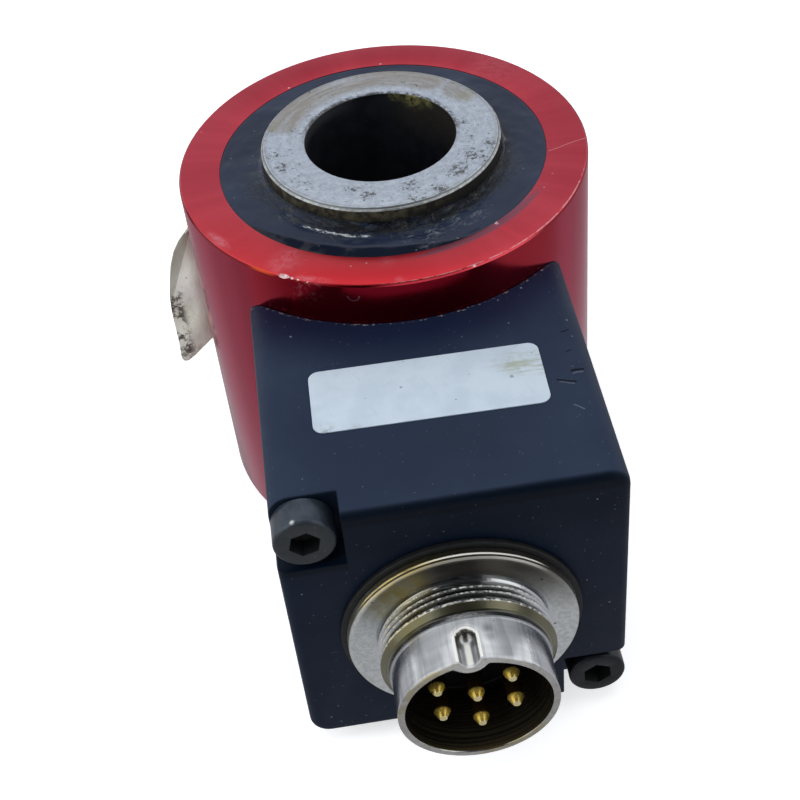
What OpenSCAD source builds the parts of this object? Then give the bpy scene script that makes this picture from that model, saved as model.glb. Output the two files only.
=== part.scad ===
// Ring force transducer with a side mounted connector block.
// The load passes down a steel sleeve with a bore right through it. A red
// aluminium ring protects the sleeve, and a black block screwed to its side
// holds the bridge circuit and the round plug connector.
// Z is up the bore, the block points towards -Y, and z = 0 is the steel base.

/* [Ring housing] */
// Outside diameter of the red ring
ring_od = 42; // [41:0.5:50]
// Height of the red ring
ring_h = 38; // [36:0.5:50]
// Wall of the ring round the gauge chamber
ring_wall = 5; // [4.3:0.1:5.5]
// Width of the red land that shows round the top seal
land_w = 4.2; // [3:0.1:4.3]
// Chamfer on the ring's outer edges
ring_chamfer = 0.3; // [0.1:0.1:1]
// How far the steel base stands below the ring
base_stand = 0.5; // [0:0.1:1.5]
// Diameter of the wire passage in the ring's wall
passage_d = 5; // [3:0.1:6]
// How deep the tapped holes go past the ends of the cap screws
tap_spare = 0.5; // [0.2:0.1:1]

/* [Measuring body] */
// Diameter of the bore that goes right through
bore_d = 15.4; // [12:0.1:16]
// Outside diameter of the steel load ring
load_od = 24.5; // [23:0.1:26]
// How far the load ring stands above the red ring
load_proud = 2.2; // [0.5:0.1:4]
// Chamfer at the ends of the bore
bore_chamfer = 0.5; // [0.1:0.1:1]
// Chamfer on the load ring's outer edge
load_chamfer = 0.3; // [0.1:0.1:0.8]
// Wall of the thin stretch that carries the gauges
gauge_wall = 2.3; // [1.5:0.1:3.5]
// Height of the thin stretch
gauge_zone_h = 16; // [14:0.5:18]
// Height of the thin stretch's middle above the ring's middle
zone_rise = 0.5; // [0:0.1:1]
// Fillet at the ends of the thin stretch
zone_fillet = 1.5; // [0.5:0.1:2]
// Thickness of the base flange
base_t = 5; // [4:0.1:7]
// Height of the groove for the base seal
base_groove_h = 1.6; // [1:0.1:2]
// Depth of the groove for the base seal
base_groove_depth = 1.2; // [0.8:0.1:1.8]

/* [Seals] */
// Thickness of the black top seal
seal_t = 2; // [1.5:0.1:3]
// How far the wire grommet is set back from both faces of the ring's wall
grommet_recess = 0.4; // [0.3:0.1:0.8]
// Height of the bead where the seal wets the steel
bead_h = 0.7; // [0.3:0.1:1.2]

/* [Strain gauges] */
// Width of a gauge along the circumference
gauge_w = 8; // [5:0.5:11]
// Height of a gauge
gauge_h = 6; // [4:0.5:10]
// Drop of the gauges below the thin stretch's middle
gauge_drop = 1; // [0:0.1:2]
// Thickness of a gauge's carrier film
gauge_t = 0.15; // [0.1:0.05:0.3]
// Height of a solder pad on a gauge
pad_h = 1; // [0.6:0.1:1.5]
// Width of a solder pad
pad_w = 1.6; // [1:0.1:2.2]
// How far a solder pad stands off the carrier
pad_t = 0.3; // [0.2:0.05:0.5]
// Diameter of the ring loom that joins the gauges
loom_d = 1; // [0.6:0.1:1.4]
// Diameter of the lead from the loom to the circuit board
lead_d = 1.8; // [1:0.1:2.4]

/* [Connector block] */
// Width of the block
block_w = 31; // [29.5:0.1:34]
// Height of the block
block_h = 31; // [29.5:0.1:34]
// Distance from the ring's side to the block's front face
block_depth = 23.3; // [21:0.1:34]
// Height of the block's middle above the steel base
block_z = 18.4; // [17:0.1:19]
// Radius of the four long edges
long_edge_r = 2; // [0.5:0.1:2.6]
// Radius of the front edges
front_edge_r = 0.9; // [0.3:0.1:1.2]
// Gap between the block's hollow back and the ring
saddle_gap = 0.05; // [0.02:0.01:0.2]
// Thickness of the block's front wall
front_wall = 5; // [4.5:0.1:6]
// Half width of the chamber in front of the circuit board
front_room = 10.6; // [10.4:0.1:10.8]
// Half width of the chamber behind the circuit board
rear_room = 11.7; // [11.5:0.1:11.9]
// Corner radius of both chambers
room_r = 4.5; // [4.3:0.1:5]
// Distance from the front face to the circuit board
board_depth = 15.3; // [14.5:0.1:16.5]

/* [Cap screws] */
// Diameter of the cap screws
screw_d = 3; // [2.5:0.1:3.2]
// Length of a cap screw below its head
screw_len = 28; // [26:0.5:28.5]
// Diameter of a cap screw's head
head_d = 5.5; // [5:0.1:5.8]
// Height of a cap screw's head
head_h = 3; // [2.5:0.1:3.5]
// Width across the flats of the hex socket
socket_af = 2.5; // [2:0.1:3]
// Depth of the hex socket
socket_depth = 1.6; // [1:0.1:2]
// Sideways and upward distance of a cap screw from the block's middle
screw_offset = 12.7; // [12.5:0.1:12.9]
// Diametral clearance of a cap screw in the block
screw_clearance = 0.4; // [0.2:0.1:0.6]
// Side of the square pocket that a head sits in
pocket_side = 6.1; // [5.9:0.1:6.4]

/* [Connector] */
// Drop of the connector's axis below the block's middle
plug_drop = 0.7; // [0:0.1:0.9]
// Turn of the connector about its axis, in degrees
plug_clock = 4; // [-10:1:10]
// Outside diameter of the coupling thread
thread_d = 16; // [15.4:0.1:16.6]
// Length of the coupling thread
thread_len = 3.1; // [2:0.1:4]
// Chamfer at both ends of the coupling thread
thread_chamfer = 0.3; // [0.1:0.1:0.5]
// Depth and length of the relief between the thread and the flange
thread_relief = 0.5; // [0.3:0.1:0.7]
// Diameter of the flange
flange_d = 21.1; // [20:0.1:22]
// Chamfer on the flange's front edge
flange_chamfer = 0.3; // [0.1:0.1:0.5]
// Thickness of the flange
flange_t = 1.2; // [0.8:0.1:1.6]
// Outside diameter of the gasket under the flange
gasket_d = 22.2; // [21:0.1:23]
// Thickness of the gasket under the flange
gasket_t = 0.6; // [0.4:0.1:1.2]
// Outside diameter of the smooth nose
nose_d = 14.3; // [14:0.1:14.6]
// Length of the smooth nose
nose_len = 5; // [4:0.1:6]
// Wall of the nose
nose_wall = 0.65; // [0.5:0.05:0.8]
// Outside diameter of the sleeve that passes through the front wall
sleeve_d = 14; // [13.8:0.1:14.6]
// Diametral clearance of the sleeve in the front wall
sleeve_clearance = 0.2; // [0.1:0.1:0.5]
// Radius of the key groove pressed into the nose
key_r = 1.1; // [0.8:0.1:1.3]
// Depth of the key groove
key_depth = 1; // [0.6:0.1:1.1]
// Distance from the nose's rim to the contact carrier
socket_room = 6.5; // [6:0.1:7]
// Width across the flats of the nut inside
nut_af = 17; // [16.4:0.1:17]
// Thickness of the nut inside
nut_t = 2.5; // [2:0.1:3]
// How far the sleeve stands past the nut
sleeve_past_nut = 0.5; // [0.2:0.1:1]

/* [Contacts] */
// Diameter of a contact pin
pin_d = 1.5; // [1.2:0.1:1.6]
// Diameter of a contact pin's flat tip
pin_tip_d = 0.75; // [0.5:0.05:1]
// Length of a contact pin's cone
pin_cone = 0.7; // [0.4:0.1:1]
// Radius of the circle that carries five of the pins
pin_circle_r = 3.8; // [3.4:0.1:4]
// How far the pins end behind the nose's rim
pin_set_back = 1.05; // [0.6:0.05:1.5]
// Length of the solder cup behind the carrier
cup_len = 2.6; // [2:0.1:3]
// Bore of the solder cup
cup_bore = 0.9; // [0.7:0.1:1]
// Depth of the solder cup
cup_depth = 1.6; // [1:0.1:1.9]

/* [Circuit board] */
// Thickness of the circuit board
board_t = 1.2; // [0.8:0.1:1.6]
// Gap round the circuit board's edge
board_gap = 0.1; // [0.05:0.05:0.3]
// Sideways and upward distance of a board screw from the middle
board_screw_offset = 8.9; // [8.8:0.1:9]
// Diameter of a board screw
board_screw_d = 2; // [1.6:0.1:2.2]
// How much wider a board screw's hole is than the screw
board_screw_clearance = 0.2; // [0.1:0.1:0.4]
// Diameter of a board screw's head
board_head_d = 3.8; // [3.2:0.1:3.8]
// Height of a board screw's head
board_head_h = 1.3; // [1:0.1:1.6]
// Length of a board screw below its head
board_screw_len = 5; // [4:0.5:7]
// Radius of the post that a board screw goes into
post_r = 2.2; // [2:0.1:2.2]
// Width of the amplifier chip
chip_w = 9.9; // [6:0.1:12]
// Height of the amplifier chip along the board
chip_h = 3.9; // [3.5:0.1:6]
// Thickness of the amplifier chip
chip_t = 1.6; // [1:0.1:2.2]
// Number of legs on each side of the chip
chip_legs = 7; // [4:1:8]
// Distance between neighbouring legs
leg_pitch = 1.27; // [1:0.01:1.4]
// Width of a leg
leg_w = 0.4; // [0.3:0.1:0.6]
// Thickness of a leg
leg_t = 0.5; // [0.3:0.1:0.8]
// How far a leg reaches out from the chip
leg_reach = 1.1; // [0.8:0.1:1.4]
// Gap between the chip and the board
chip_lift = 0.15; // [0.05:0.05:0.3]
// Drop of the chip below the block's middle
chip_drop = 4; // [3.5:0.1:5]
// Diameter of a trim resistor
resistor_d = 1.9; // [1.4:0.1:2.4]
// Length of a trim resistor
resistor_len = 4.2; // [3:0.1:5]
// Thickness of a trim resistor's wire ends
resistor_wire = 0.5; // [0.3:0.1:0.6]
// Height of the trim resistors above the block's middle
resistor_rise = 3.2; // [2.6:0.1:3.2]
// Sideways distance of the outer trim resistors from the middle
resistor_out = 8.6; // [7:0.1:9]
// Sideways distance between neighbouring trim resistors
resistor_pitch = 3; // [2.5:0.1:3.5]

/* [Labels] */
// Length of the blank label on the block
label_w = 21.2; // [15:0.1:24]
// Width of the blank label on the block
label_d = 8.4; // [6:0.1:10]
// Thickness of the blank label
label_t = 0.12; // [0.08:0.01:0.2]
// Corner radius of the blank label
label_r = 1; // [0.5:0.1:2]
// Distance from the block's front face to the blank label's middle
label_set_back = 14.4; // [8:0.1:15.5]
// Turn of the blank label, in degrees
label_turn = -0.8; // [-4:0.2:4]
// Thickness of the peeling label on the ring
flap_t = 0.16; // [0.1:0.01:0.3]
// Radius of the bend where the flap leaves the ring
flap_bend_r = 3; // [2:0.5:4]
// Angle that the flap turns through at its bend, in degrees
flap_bend = 65; // [40:5:80]
// Straight length of the flap past its bend
flap_len = 3; // [1:0.1:5]
// How far the flap stands out from the ring's side
flap_out = 4.74; // [3:0.02:5]
// Height of the flap's drooping lower corner
flap_low = 10.6; // [8:0.1:12]
// Height of the lower edge where the label still sticks
label_low = 14.5; // [13:0.1:18]
// Height of the label's upper edge
label_high = 31.5; // [28:0.1:35]
// Bearing on the ring where the flap lets go, in degrees
flap_start = 165; // [150:1:170]
// Arc of the ring that the label still covers, in degrees
flap_stuck = 35; // [20:1:60]

/* [Hidden] */
$fn = 96;
eps = 0.01;
slack = 0.02;
ring_r = ring_od / 2;
chamber_r = ring_r - ring_wall;
seat_r = ring_r - land_w;
block_reach = ring_r + block_depth;
ring_top = base_stand + ring_h;
body_top = ring_top + load_proud;
load_r = load_od / 2;
bore_r = bore_d / 2;
thin_r = bore_r + gauge_wall;
zone_z = base_stand + ring_h / 2 + zone_rise;
seal_z = ring_top - seal_t;
block_top = block_z + block_h / 2;
front_y = -block_reach;
plug_z = block_z - plug_drop;
screw_seat = block_reach - head_h;
room_y = front_y + front_wall;
board_y = front_y + board_depth;
board_back = board_y + board_t;
flange_y = front_y - gasket_t;
thread_y = flange_y - flange_t;
nose_y = thread_y - thread_len;
rim_y = nose_y - nose_len;
carrier_y = rim_y + socket_room;
nose_bore_r = nose_d / 2 - nose_wall;
sleeve_back = room_y + nut_t + sleeve_past_nut;
pin_front = rim_y + pin_set_back;
cup_back = sleeve_back + cup_len;
pad_r = thin_r + gauge_t + pad_t;
gauge_z = zone_z - gauge_drop;
loom_z = gauge_z + gauge_h / 2 - pad_h / 2;
loom_r = pad_r + loom_d / 2;
// Bearings of the pins seen from the front, with the key at the top
pin_bearings = [30, 150, 210, 270, 330];
gauge_bearings = [0, 90, 180, 270];
// Corners of the flap's loose edge, from its lower corner up. The first value
// is a share of how far it stands out, the second a share of its height.
flap_edge = [[0.87, 0], [1, 0.05], [0.9, 0.51], [0.72, 0.68], [0.13, 0.93]];

// Lays what is drawn up the Z axis along Y, growing from y towards -Y
module towards_front(x, y, z) {
    translate([x, y, z]) rotate([90, 0, 0]) children();
}

// Round rod that starts at y and grows len towards -Y
module rod(x, y, z, d, len) {
    towards_front(x, y, z) cylinder(d = d, h = len);
}

// Rounded rectangle about the middle
module rounded_rectangle(w, h, r) {
    square([w - 2 * r, h], center = true);
    square([w, h - 2 * r], center = true);
    for (sx = [-1, 1], sy = [-1, 1])
        translate([sx * (w / 2 - r), sy * (h / 2 - r)]) circle(r = r);
}

// Outline with two rounded corners at its near end, from -reach to 0
module nose_outline(w, reach, r) {
    translate([-w / 2, r - reach]) square([w, reach - r]);
    translate([r - w / 2, -reach]) square([w - 2 * r, reach]);
    for (s = [-1, 1]) translate([s * (w / 2 - r), r - reach]) circle(r = r);
}

// Moves a child to each of the two corners that hold a cap screw
module at_cap_screws() {
    for (s = [-1, 1]) translate([s * screw_offset, 0, block_z - s * screw_offset]) children();
}

// Moves a child to each of the two corners that hold a board screw
module at_board_screws() {
    for (s = [-1, 1])
        translate([s * board_screw_offset, 0, block_z + s * board_screw_offset]) children();
}

// Red anodised ring: chamber bore, seal seat, wire passage and two tapped holes
module ring_housing() {
    color("firebrick")
    difference() {
        translate([0, 0, base_stand]) rotate_extrude() polygon([
            [chamber_r, 0],
            [ring_r - ring_chamfer, 0],
            [ring_r, ring_chamfer],
            [ring_r, ring_h - ring_chamfer],
            [ring_r - ring_chamfer, ring_h],
            [seat_r, ring_h],
            [seat_r, ring_h - seal_t],
            [chamber_r, ring_h - seal_t]
        ]);
        rod(0, 0, loom_z, passage_d, ring_r + 1);
        at_cap_screws() rod(0, screw_len + tap_spare - screw_seat, 0, screw_d, screw_len);
    }
}

// One-piece steel sleeve: load ring, thinned gauge stretch and base flange
module measuring_body() {
    base_r = chamber_r - slack;
    zone_low = zone_z - gauge_zone_h / 2;
    zone_high = zone_z + gauge_zone_h / 2;
    color("lightsteelblue")
    rotate_extrude() difference() {
        polygon([
            [bore_r, 0],
            [base_r - load_chamfer, 0],
            [base_r, load_chamfer],
            [base_r, base_t],
            [load_r, base_t],
            [load_r, body_top - load_chamfer],
            [load_r - load_chamfer, body_top],
            [bore_r + bore_chamfer, body_top],
            [bore_r, body_top - bore_chamfer]
        ]);
        translate([thin_r, zone_low + zone_fillet])
            square([load_r, gauge_zone_h - 2 * zone_fillet]);
        translate([thin_r + zone_fillet, zone_low]) square([load_r, gauge_zone_h]);
        for (z = [zone_low + zone_fillet, zone_high - zone_fillet])
            translate([thin_r + zone_fillet, z]) circle(r = zone_fillet);
        translate([base_r - base_groove_depth, (base_t - base_groove_h) / 2])
            square([base_groove_depth + 1, base_groove_h]);
    }
}

// Black seal that closes the chamber, with a bead where it wets the steel
module top_seal() {
    inner = load_r + slack;
    color("#28323f")
    rotate_extrude() {
        translate([inner, seal_z]) square([seat_r - slack - inner, seal_t]);
        translate([inner, ring_top]) difference() {
            translate([0, -eps]) square([bead_h, bead_h + eps]);
            translate([bead_h, bead_h]) circle(r = bead_h);
        }
    }
}

// Rubber ring in the groove of the base flange
module base_seal() {
    groove_r = chamber_r - slack - base_groove_depth;
    color("#1a1a1c")
    rotate_extrude() translate([groove_r + slack, (base_t - base_groove_h) / 2 + slack])
        square([base_groove_depth - slack, base_groove_h - 2 * slack]);
}

// One strain gauge: curved carrier film with two solder pads along its top
module gauge(bearing) {
    color("darkorange")
    rotate([0, 0, bearing]) {
        difference() {
            intersection() {
                translate([0, 0, gauge_z - gauge_h / 2]) cylinder(r = thin_r + gauge_t, h = gauge_h);
                translate([0, -gauge_w / 2, gauge_z - gauge_h])
                    cube([thin_r + 1, gauge_w, 2 * gauge_h]);
            }
            translate([0, 0, gauge_z - gauge_h]) cylinder(r = thin_r, h = 2 * gauge_h);
        }
        for (s = [-1, 1]) intersection() {
            translate([0, 0, loom_z - pad_h / 2]) difference() {
                cylinder(r = pad_r, h = pad_h);
                translate([0, 0, -1]) cylinder(r = thin_r + gauge_t - eps, h = pad_h + 2);
            }
            translate([0, s * gauge_w / 4 - pad_w / 2, loom_z - pad_h])
                cube([pad_r + 1, pad_w, 2 * pad_h]);
        }
    }
}

module gauge_right() { gauge(gauge_bearings[0]); }
module gauge_rear() { gauge(gauge_bearings[1]); }
module gauge_left() { gauge(gauge_bearings[2]); }
module gauge_front() { gauge(gauge_bearings[3]); }

// Ring of bridge wires round the gauges, with its lead out to the circuit board
module gauge_loom() {
    color("seagreen") {
        translate([0, 0, loom_z]) rotate_extrude() translate([loom_r, 0]) circle(d = loom_d);
        rod(0, -loom_r, loom_z, lead_d, -board_back - loom_r);
    }
}

// Rubber grommet that seals the lead in the ring's wall
module wire_grommet() {
    grommet_front = ring_r - grommet_recess;
    grommet_back = chamber_r + grommet_recess;
    color("#202024")
    difference() {
        rod(0, -grommet_back, loom_z, passage_d - 2 * slack, grommet_front - grommet_back);
        rod(0, 0, loom_z, lead_d + 2 * slack, ring_r + 1);
    }
}

// Black block with its hollow back, two corner pockets and stepped chamber
module connector_block() {
    color("#1f2836")
    difference() {
        intersection() {
            towards_front(0, 0, block_z) linear_extrude(block_reach)
                rounded_rectangle(block_w, block_h, long_edge_r);
            translate([0, 0, block_z - block_h]) linear_extrude(2 * block_h)
                nose_outline(block_w, block_reach, front_edge_r);
            translate([-block_w, 0, block_z]) rotate([90, 0, 90]) linear_extrude(2 * block_w)
                rotate(-90) nose_outline(block_h, block_reach, front_edge_r);
        }
        translate([0, 0, block_z - block_h]) cylinder(r = ring_r + saddle_gap, h = 2 * block_h);
        chamber();
        rod(0, room_y + 1, plug_z, sleeve_d + sleeve_clearance, front_wall + 2);
        at_cap_screws() rod(0, 0, 0, screw_d + screw_clearance, block_reach + 1);
        for (s = [-1, 1])
            translate([s * block_w / 2 - (s + 1) / 2 * pocket_side,
                       front_y - 1,
                       block_z - s * block_h / 2 + (s - 1) / 2 * pocket_side])
                cube([pocket_side, head_h + 1, pocket_side]);
        at_board_screws() rod(0, board_y + 1, 0, board_screw_d, board_screw_len + 1);
    }
}

// Stepped room inside the block, with a post in two of its front corners
module chamber() {
    difference() {
        towards_front(0, board_y, block_z) linear_extrude(board_depth - front_wall)
            rounded_rectangle(2 * front_room, 2 * front_room, room_r);
        at_board_screws() rod(0, board_y + 1, 0, 2 * post_r, board_depth);
    }
    towards_front(0, 0, block_z) linear_extrude(-board_y)
        rounded_rectangle(2 * rear_room, 2 * rear_room, room_r);
}

// Two socket head cap screws that hold the block to the ring
module cap_screws() {
    color("#2b2b2e")
    at_cap_screws() difference() {
        union() {
            rod(0, screw_len - screw_seat, 0, screw_d, screw_len + eps);
            rod(0, -screw_seat, 0, head_d, head_h);
        }
        towards_front(0, socket_depth - screw_seat - head_h, 0)
            cylinder(d = socket_af / cos(30), h = socket_depth + 1, $fn = 6);
    }
}

// Flat rubber washer between the connector's flange and the block
module connector_gasket() {
    color("#18181a")
    difference() {
        rod(0, front_y, plug_z, gasket_d, gasket_t);
        rod(0, front_y + 1, plug_z, sleeve_d + sleeve_clearance, gasket_t + 2);
    }
}

// Turned and plated shell: sleeve, flange, thread, and nose with its key groove
module connector_shell() {
    key_centre = nose_d / 2 + key_r - key_depth;
    color("silver")
    towards_front(0, 0, plug_z) rotate(plug_clock) difference() {
        union() {
            translate([0, 0, -sleeve_back]) cylinder(d = sleeve_d, h = sleeve_back - thread_y);
            translate([0, 0, -flange_y]) rotate_extrude() polygon([
                [nose_bore_r, 0],
                [flange_d / 2, 0],
                [flange_d / 2, flange_t - flange_chamfer],
                [flange_d / 2 - flange_chamfer, flange_t],
                [thread_d / 2 - thread_relief, flange_t],
                [thread_d / 2 - thread_relief, flange_t + thread_relief],
                [thread_d / 2, flange_t + thread_relief + thread_chamfer],
                [thread_d / 2, flange_t + thread_len - thread_chamfer],
                [thread_d / 2 - thread_chamfer, flange_t + thread_len],
                [nose_bore_r, flange_t + thread_len]
            ]);
            translate([0, 0, -nose_y - eps]) cylinder(d = nose_d, h = nose_len + eps);
        }
        difference() {
            translate([0, 0, -sleeve_back - 1])
                cylinder(r = nose_bore_r, h = sleeve_back - rim_y + 2);
            translate([0, key_centre, -nose_y]) cylinder(r = key_r + nose_wall, h = nose_len);
        }
        translate([0, key_centre, -nose_y + key_r]) {
            cylinder(r = key_r, h = nose_len);
            sphere(r = key_r);
        }
    }
}

// Black moulded carrier that holds the six pins inside the shell
module connector_carrier() {
    key_centre = nose_d / 2 + key_r - key_depth;
    color("#141416")
    towards_front(0, 0, plug_z) rotate(plug_clock) difference() {
        translate([0, 0, -sleeve_back]) cylinder(r = nose_bore_r - slack, h = sleeve_back - carrier_y);
        at_pins() translate([0, 0, -sleeve_back - 1])
            cylinder(d = pin_d + 2 * slack, h = sleeve_back - carrier_y + 2);
        translate([0, key_centre, -nose_y - slack])
            cylinder(r = key_r + nose_wall + slack, h = nose_len);
    }
}

// Moves a child to the middle and to each place on the pin circle
module at_pins() {
    children();
    for (a = pin_bearings) rotate(a) translate([pin_circle_r, 0, 0]) children();
}

// One gold contact: cone tip, pin, and solder cup at the back
module contact_pin() {
    color("gold")
    difference() {
        union() {
            translate([0, 0, -cup_back]) cylinder(d = pin_d, h = cup_back - pin_front - pin_cone);
            translate([0, 0, -pin_front - pin_cone])
                cylinder(d1 = pin_d, d2 = pin_tip_d, h = pin_cone);
        }
        translate([0, 0, -cup_back - 1]) cylinder(d = cup_bore, h = cup_depth + 1);
    }
}

// Puts a contact at its bearing on the pin circle
module contact_at(bearing, radius) {
    towards_front(0, 0, plug_z) rotate(plug_clock + bearing) translate([radius, 0, 0]) contact_pin();
}

module contact_centre() { contact_at(0, 0); }
module contact_1() { contact_at(pin_bearings[0], pin_circle_r); }
module contact_2() { contact_at(pin_bearings[1], pin_circle_r); }
module contact_3() { contact_at(pin_bearings[2], pin_circle_r); }
module contact_4() { contact_at(pin_bearings[3], pin_circle_r); }
module contact_5() { contact_at(pin_bearings[4], pin_circle_r); }

// Hex nut that clamps the connector from inside the block
module connector_nut() {
    color("silver")
    towards_front(0, 0, plug_z) translate([0, 0, -room_y - nut_t]) difference() {
        cylinder(d = nut_af / cos(30), h = nut_t, $fn = 6);
        translate([0, 0, -1]) cylinder(d = sleeve_d + 2 * slack, h = nut_t + 2);
    }
}

// Six straight wires from the solder cups to the circuit board
module contact_leads() {
    color("royalblue")
    towards_front(0, 0, plug_z) rotate(plug_clock) at_pins()
        translate([0, 0, -board_y]) cylinder(d = cup_bore - 2 * slack, h = board_y - cup_back + cup_depth);
}

// Bridge circuit board on the step in the chamber
module circuit_board() {
    color("darkgreen")
    difference() {
        towards_front(0, board_back, block_z) linear_extrude(board_t)
            rounded_rectangle(2 * (rear_room - board_gap), 2 * (rear_room - board_gap), room_r - board_gap);
        at_board_screws() rod(0, board_back + 1, 0, board_screw_d + board_screw_clearance, board_t + 2);
    }
}

// Two small screws that hold the circuit board to its posts
module board_screws() {
    color("silver")
    at_board_screws() {
        rod(0, board_back + board_head_h, 0, board_head_d, board_head_h);
        rod(0, board_back + eps, 0, board_screw_d, board_screw_len + eps);
    }
}

// Amplifier chip on the back of the circuit board, with its rows of legs
module amplifier_chip() {
    color("#222222")
    translate([0, board_back, block_z - chip_drop]) {
        translate([-chip_w / 2, chip_lift, -chip_h / 2]) cube([chip_w, chip_t, chip_h]);
        for (s = [-1, 1], i = [0 : chip_legs - 1])
            translate([(i - (chip_legs - 1) / 2) * leg_pitch - leg_w / 2,
                       0,
                       s > 0 ? chip_h / 2 - eps : -chip_h / 2 - leg_reach + eps])
                cube([leg_w, leg_t, leg_reach]);
    }
}

// Four trim resistors for zero and span, on the back of the circuit board
module trim_resistors() {
    color("peru")
    for (s = [-1, 1], i = [0, 1])
        translate([s * (resistor_out - resistor_pitch * i), board_back, block_z + resistor_rise]) {
            translate([0, resistor_d / 2, -resistor_len / 2]) cylinder(d = resistor_d, h = resistor_len);
            for (t = [0, 1]) mirror([0, 0, t])
                translate([-resistor_wire / 2, 0, resistor_len / 2 - eps])
                    cube([resistor_wire, (resistor_d + resistor_wire) / 2, resistor_wire]);
        }
}

// Blank type label on top of the block
module blank_label() {
    color("ghostwhite")
    translate([0, front_y + label_set_back, block_top]) rotate(label_turn)
        linear_extrude(label_t) rounded_rectangle(label_w, label_d, label_r);
}

// Old label on the ring's rear left side, its front end peeled off and bent out
module peeling_label() {
    stuck_r = ring_r + slack;
    heading = flap_start + 90;
    steps = 12;
    hinge = stuck_r * [cos(flap_start), sin(flap_start)];
    bend_middle = hinge + flap_bend_r * [cos(heading - 90), sin(heading - 90)];
    bend = [for (i = [0 : steps]) let (a = heading + 90 - flap_bend * i / steps)
        bend_middle + flap_bend_r * [cos(a), sin(a)]];
    bend_outer = [for (i = [0 : steps]) let (a = heading + 90 - flap_bend * i / steps)
        bend_middle + (flap_bend_r - flap_t) * [cos(a), sin(a)]];
    away = heading - flap_bend;
    tip = bend[steps] + flap_len * [cos(away), sin(away)];
    tip_outer = bend_outer[steps] + flap_len * [cos(away), sin(away)];
    arc = [for (i = [0 : steps]) flap_start - flap_stuck * (1 - i / steps)];
    stuck_inner = [for (a = arc) stuck_r * [cos(a), sin(a)]];
    stuck_outer = [for (i = [steps : -1 : 0]) (stuck_r + flap_t) * [cos(arc[i]), sin(arc[i])]];
    color("gainsboro")
    intersection() {
        linear_extrude(ring_top) polygon(concat(
            stuck_inner,
            bend,
            [tip, tip_outer],
            [for (i = [steps : -1 : 0]) bend_outer[i]],
            stuck_outer
        ));
        translate([0, ring_r, 0]) rotate([90, 0, 0]) linear_extrude(2 * ring_r) polygon(concat(
            [[0, label_low], [flap_bend_r - ring_r, label_low]],
            [for (p = flap_edge)
                [-ring_r - flap_out * p[0], flap_low + (label_high - flap_low) * p[1]]],
            [[flap_bend_r - ring_r, label_high], [0, label_high]]
        ));
    }
}

ring_housing();
measuring_body();
top_seal();
base_seal();
gauge_right();
gauge_rear();
gauge_left();
gauge_front();
gauge_loom();
wire_grommet();
connector_block();
cap_screws();
connector_gasket();
connector_shell();
connector_carrier();
connector_nut();
contact_centre();
contact_1();
contact_2();
contact_3();
contact_4();
contact_5();
contact_leads();
circuit_board();
board_screws();
amplifier_chip();
trim_resistors();
blank_label();
peeling_label();
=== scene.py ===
# Force transducer: a red ring round a steel load ring, and a black block with a round plug
# connector on its side. Metres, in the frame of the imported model: Z runs up the bore and the
# plug points towards -Y.
import math
import random
import bpy
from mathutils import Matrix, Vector


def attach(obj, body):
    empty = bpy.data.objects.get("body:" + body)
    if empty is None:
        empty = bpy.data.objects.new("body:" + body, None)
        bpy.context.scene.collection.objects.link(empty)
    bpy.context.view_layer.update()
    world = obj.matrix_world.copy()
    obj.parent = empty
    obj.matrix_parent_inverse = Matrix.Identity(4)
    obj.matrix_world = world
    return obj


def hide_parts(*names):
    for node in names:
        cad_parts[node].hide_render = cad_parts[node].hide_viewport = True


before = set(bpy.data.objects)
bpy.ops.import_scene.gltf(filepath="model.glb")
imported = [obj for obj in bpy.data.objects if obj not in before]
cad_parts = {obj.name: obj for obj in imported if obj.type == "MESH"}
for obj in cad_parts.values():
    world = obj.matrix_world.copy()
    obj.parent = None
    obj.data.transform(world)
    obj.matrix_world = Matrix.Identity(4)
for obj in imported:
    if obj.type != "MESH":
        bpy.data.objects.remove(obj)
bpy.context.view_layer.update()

# Camera
# It looks down on the plug side from above and in front, close to the object, as the
# photograph was taken.
mm = 0.001
lens = bpy.data.cameras.new("camera")
lens.lens = 67.183
lens.sensor_width = 36
lens.clip_start = 10 * mm
camera = bpy.data.objects.new("camera", lens)
camera.location = (-7.354 * mm, -127.305 * mm, 127.097 * mm)
camera.rotation_euler = [math.radians(turn) for turn in (45.621, 4.771, -7.464)]
bpy.context.scene.collection.objects.link(camera)
bpy.context.scene.camera = camera
bpy.context.scene.view_settings.view_transform = "Standard"

# Studio
# A white floor, a pale room, three soft lamps, and a few grey and dark boards that only
# reflections see, which give the metal something to show.


def paint(red, green, blue):
    """Colour as a paint card gives it, 0 to 255, made linear for the shaders."""
    card = [part / 255 for part in (red, green, blue)]
    linear = [part / 12.92 if part <= 0.04045 else ((part + 0.055) / 1.055) ** 2.4 for part in card]
    return (*linear, 1)


def deselect():
    for thing in bpy.context.selected_objects:
        thing.select_set(False)


class Reading:
    """What a node gives at each place of a surface. Reckoning with it adds more nodes."""

    def __init__(self, socket):
        self.socket = socket
        self.tree = socket.id_data

    def __add__(self, other):
        return maths("ADD", self, other)

    def __sub__(self, other):
        return maths("SUBTRACT", self, other)

    def __rsub__(self, other):
        return maths("SUBTRACT", other, self)

    def __mul__(self, other):
        return maths("MULTIPLY", self, other)

    def __truediv__(self, other):
        return maths("DIVIDE", self, other)

    def __abs__(self):
        return maths("ABSOLUTE", self)


def plug_in(value, socket):
    """Puts a reading, a number or a colour into a socket. Three numbers are a paint card."""
    if isinstance(value, Reading):
        socket.id_data.links.new(value.socket, socket)
    elif socket.type == "RGBA" and len(value) == 3:
        socket.default_value = paint(*value)
    else:
        socket.default_value = value


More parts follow.
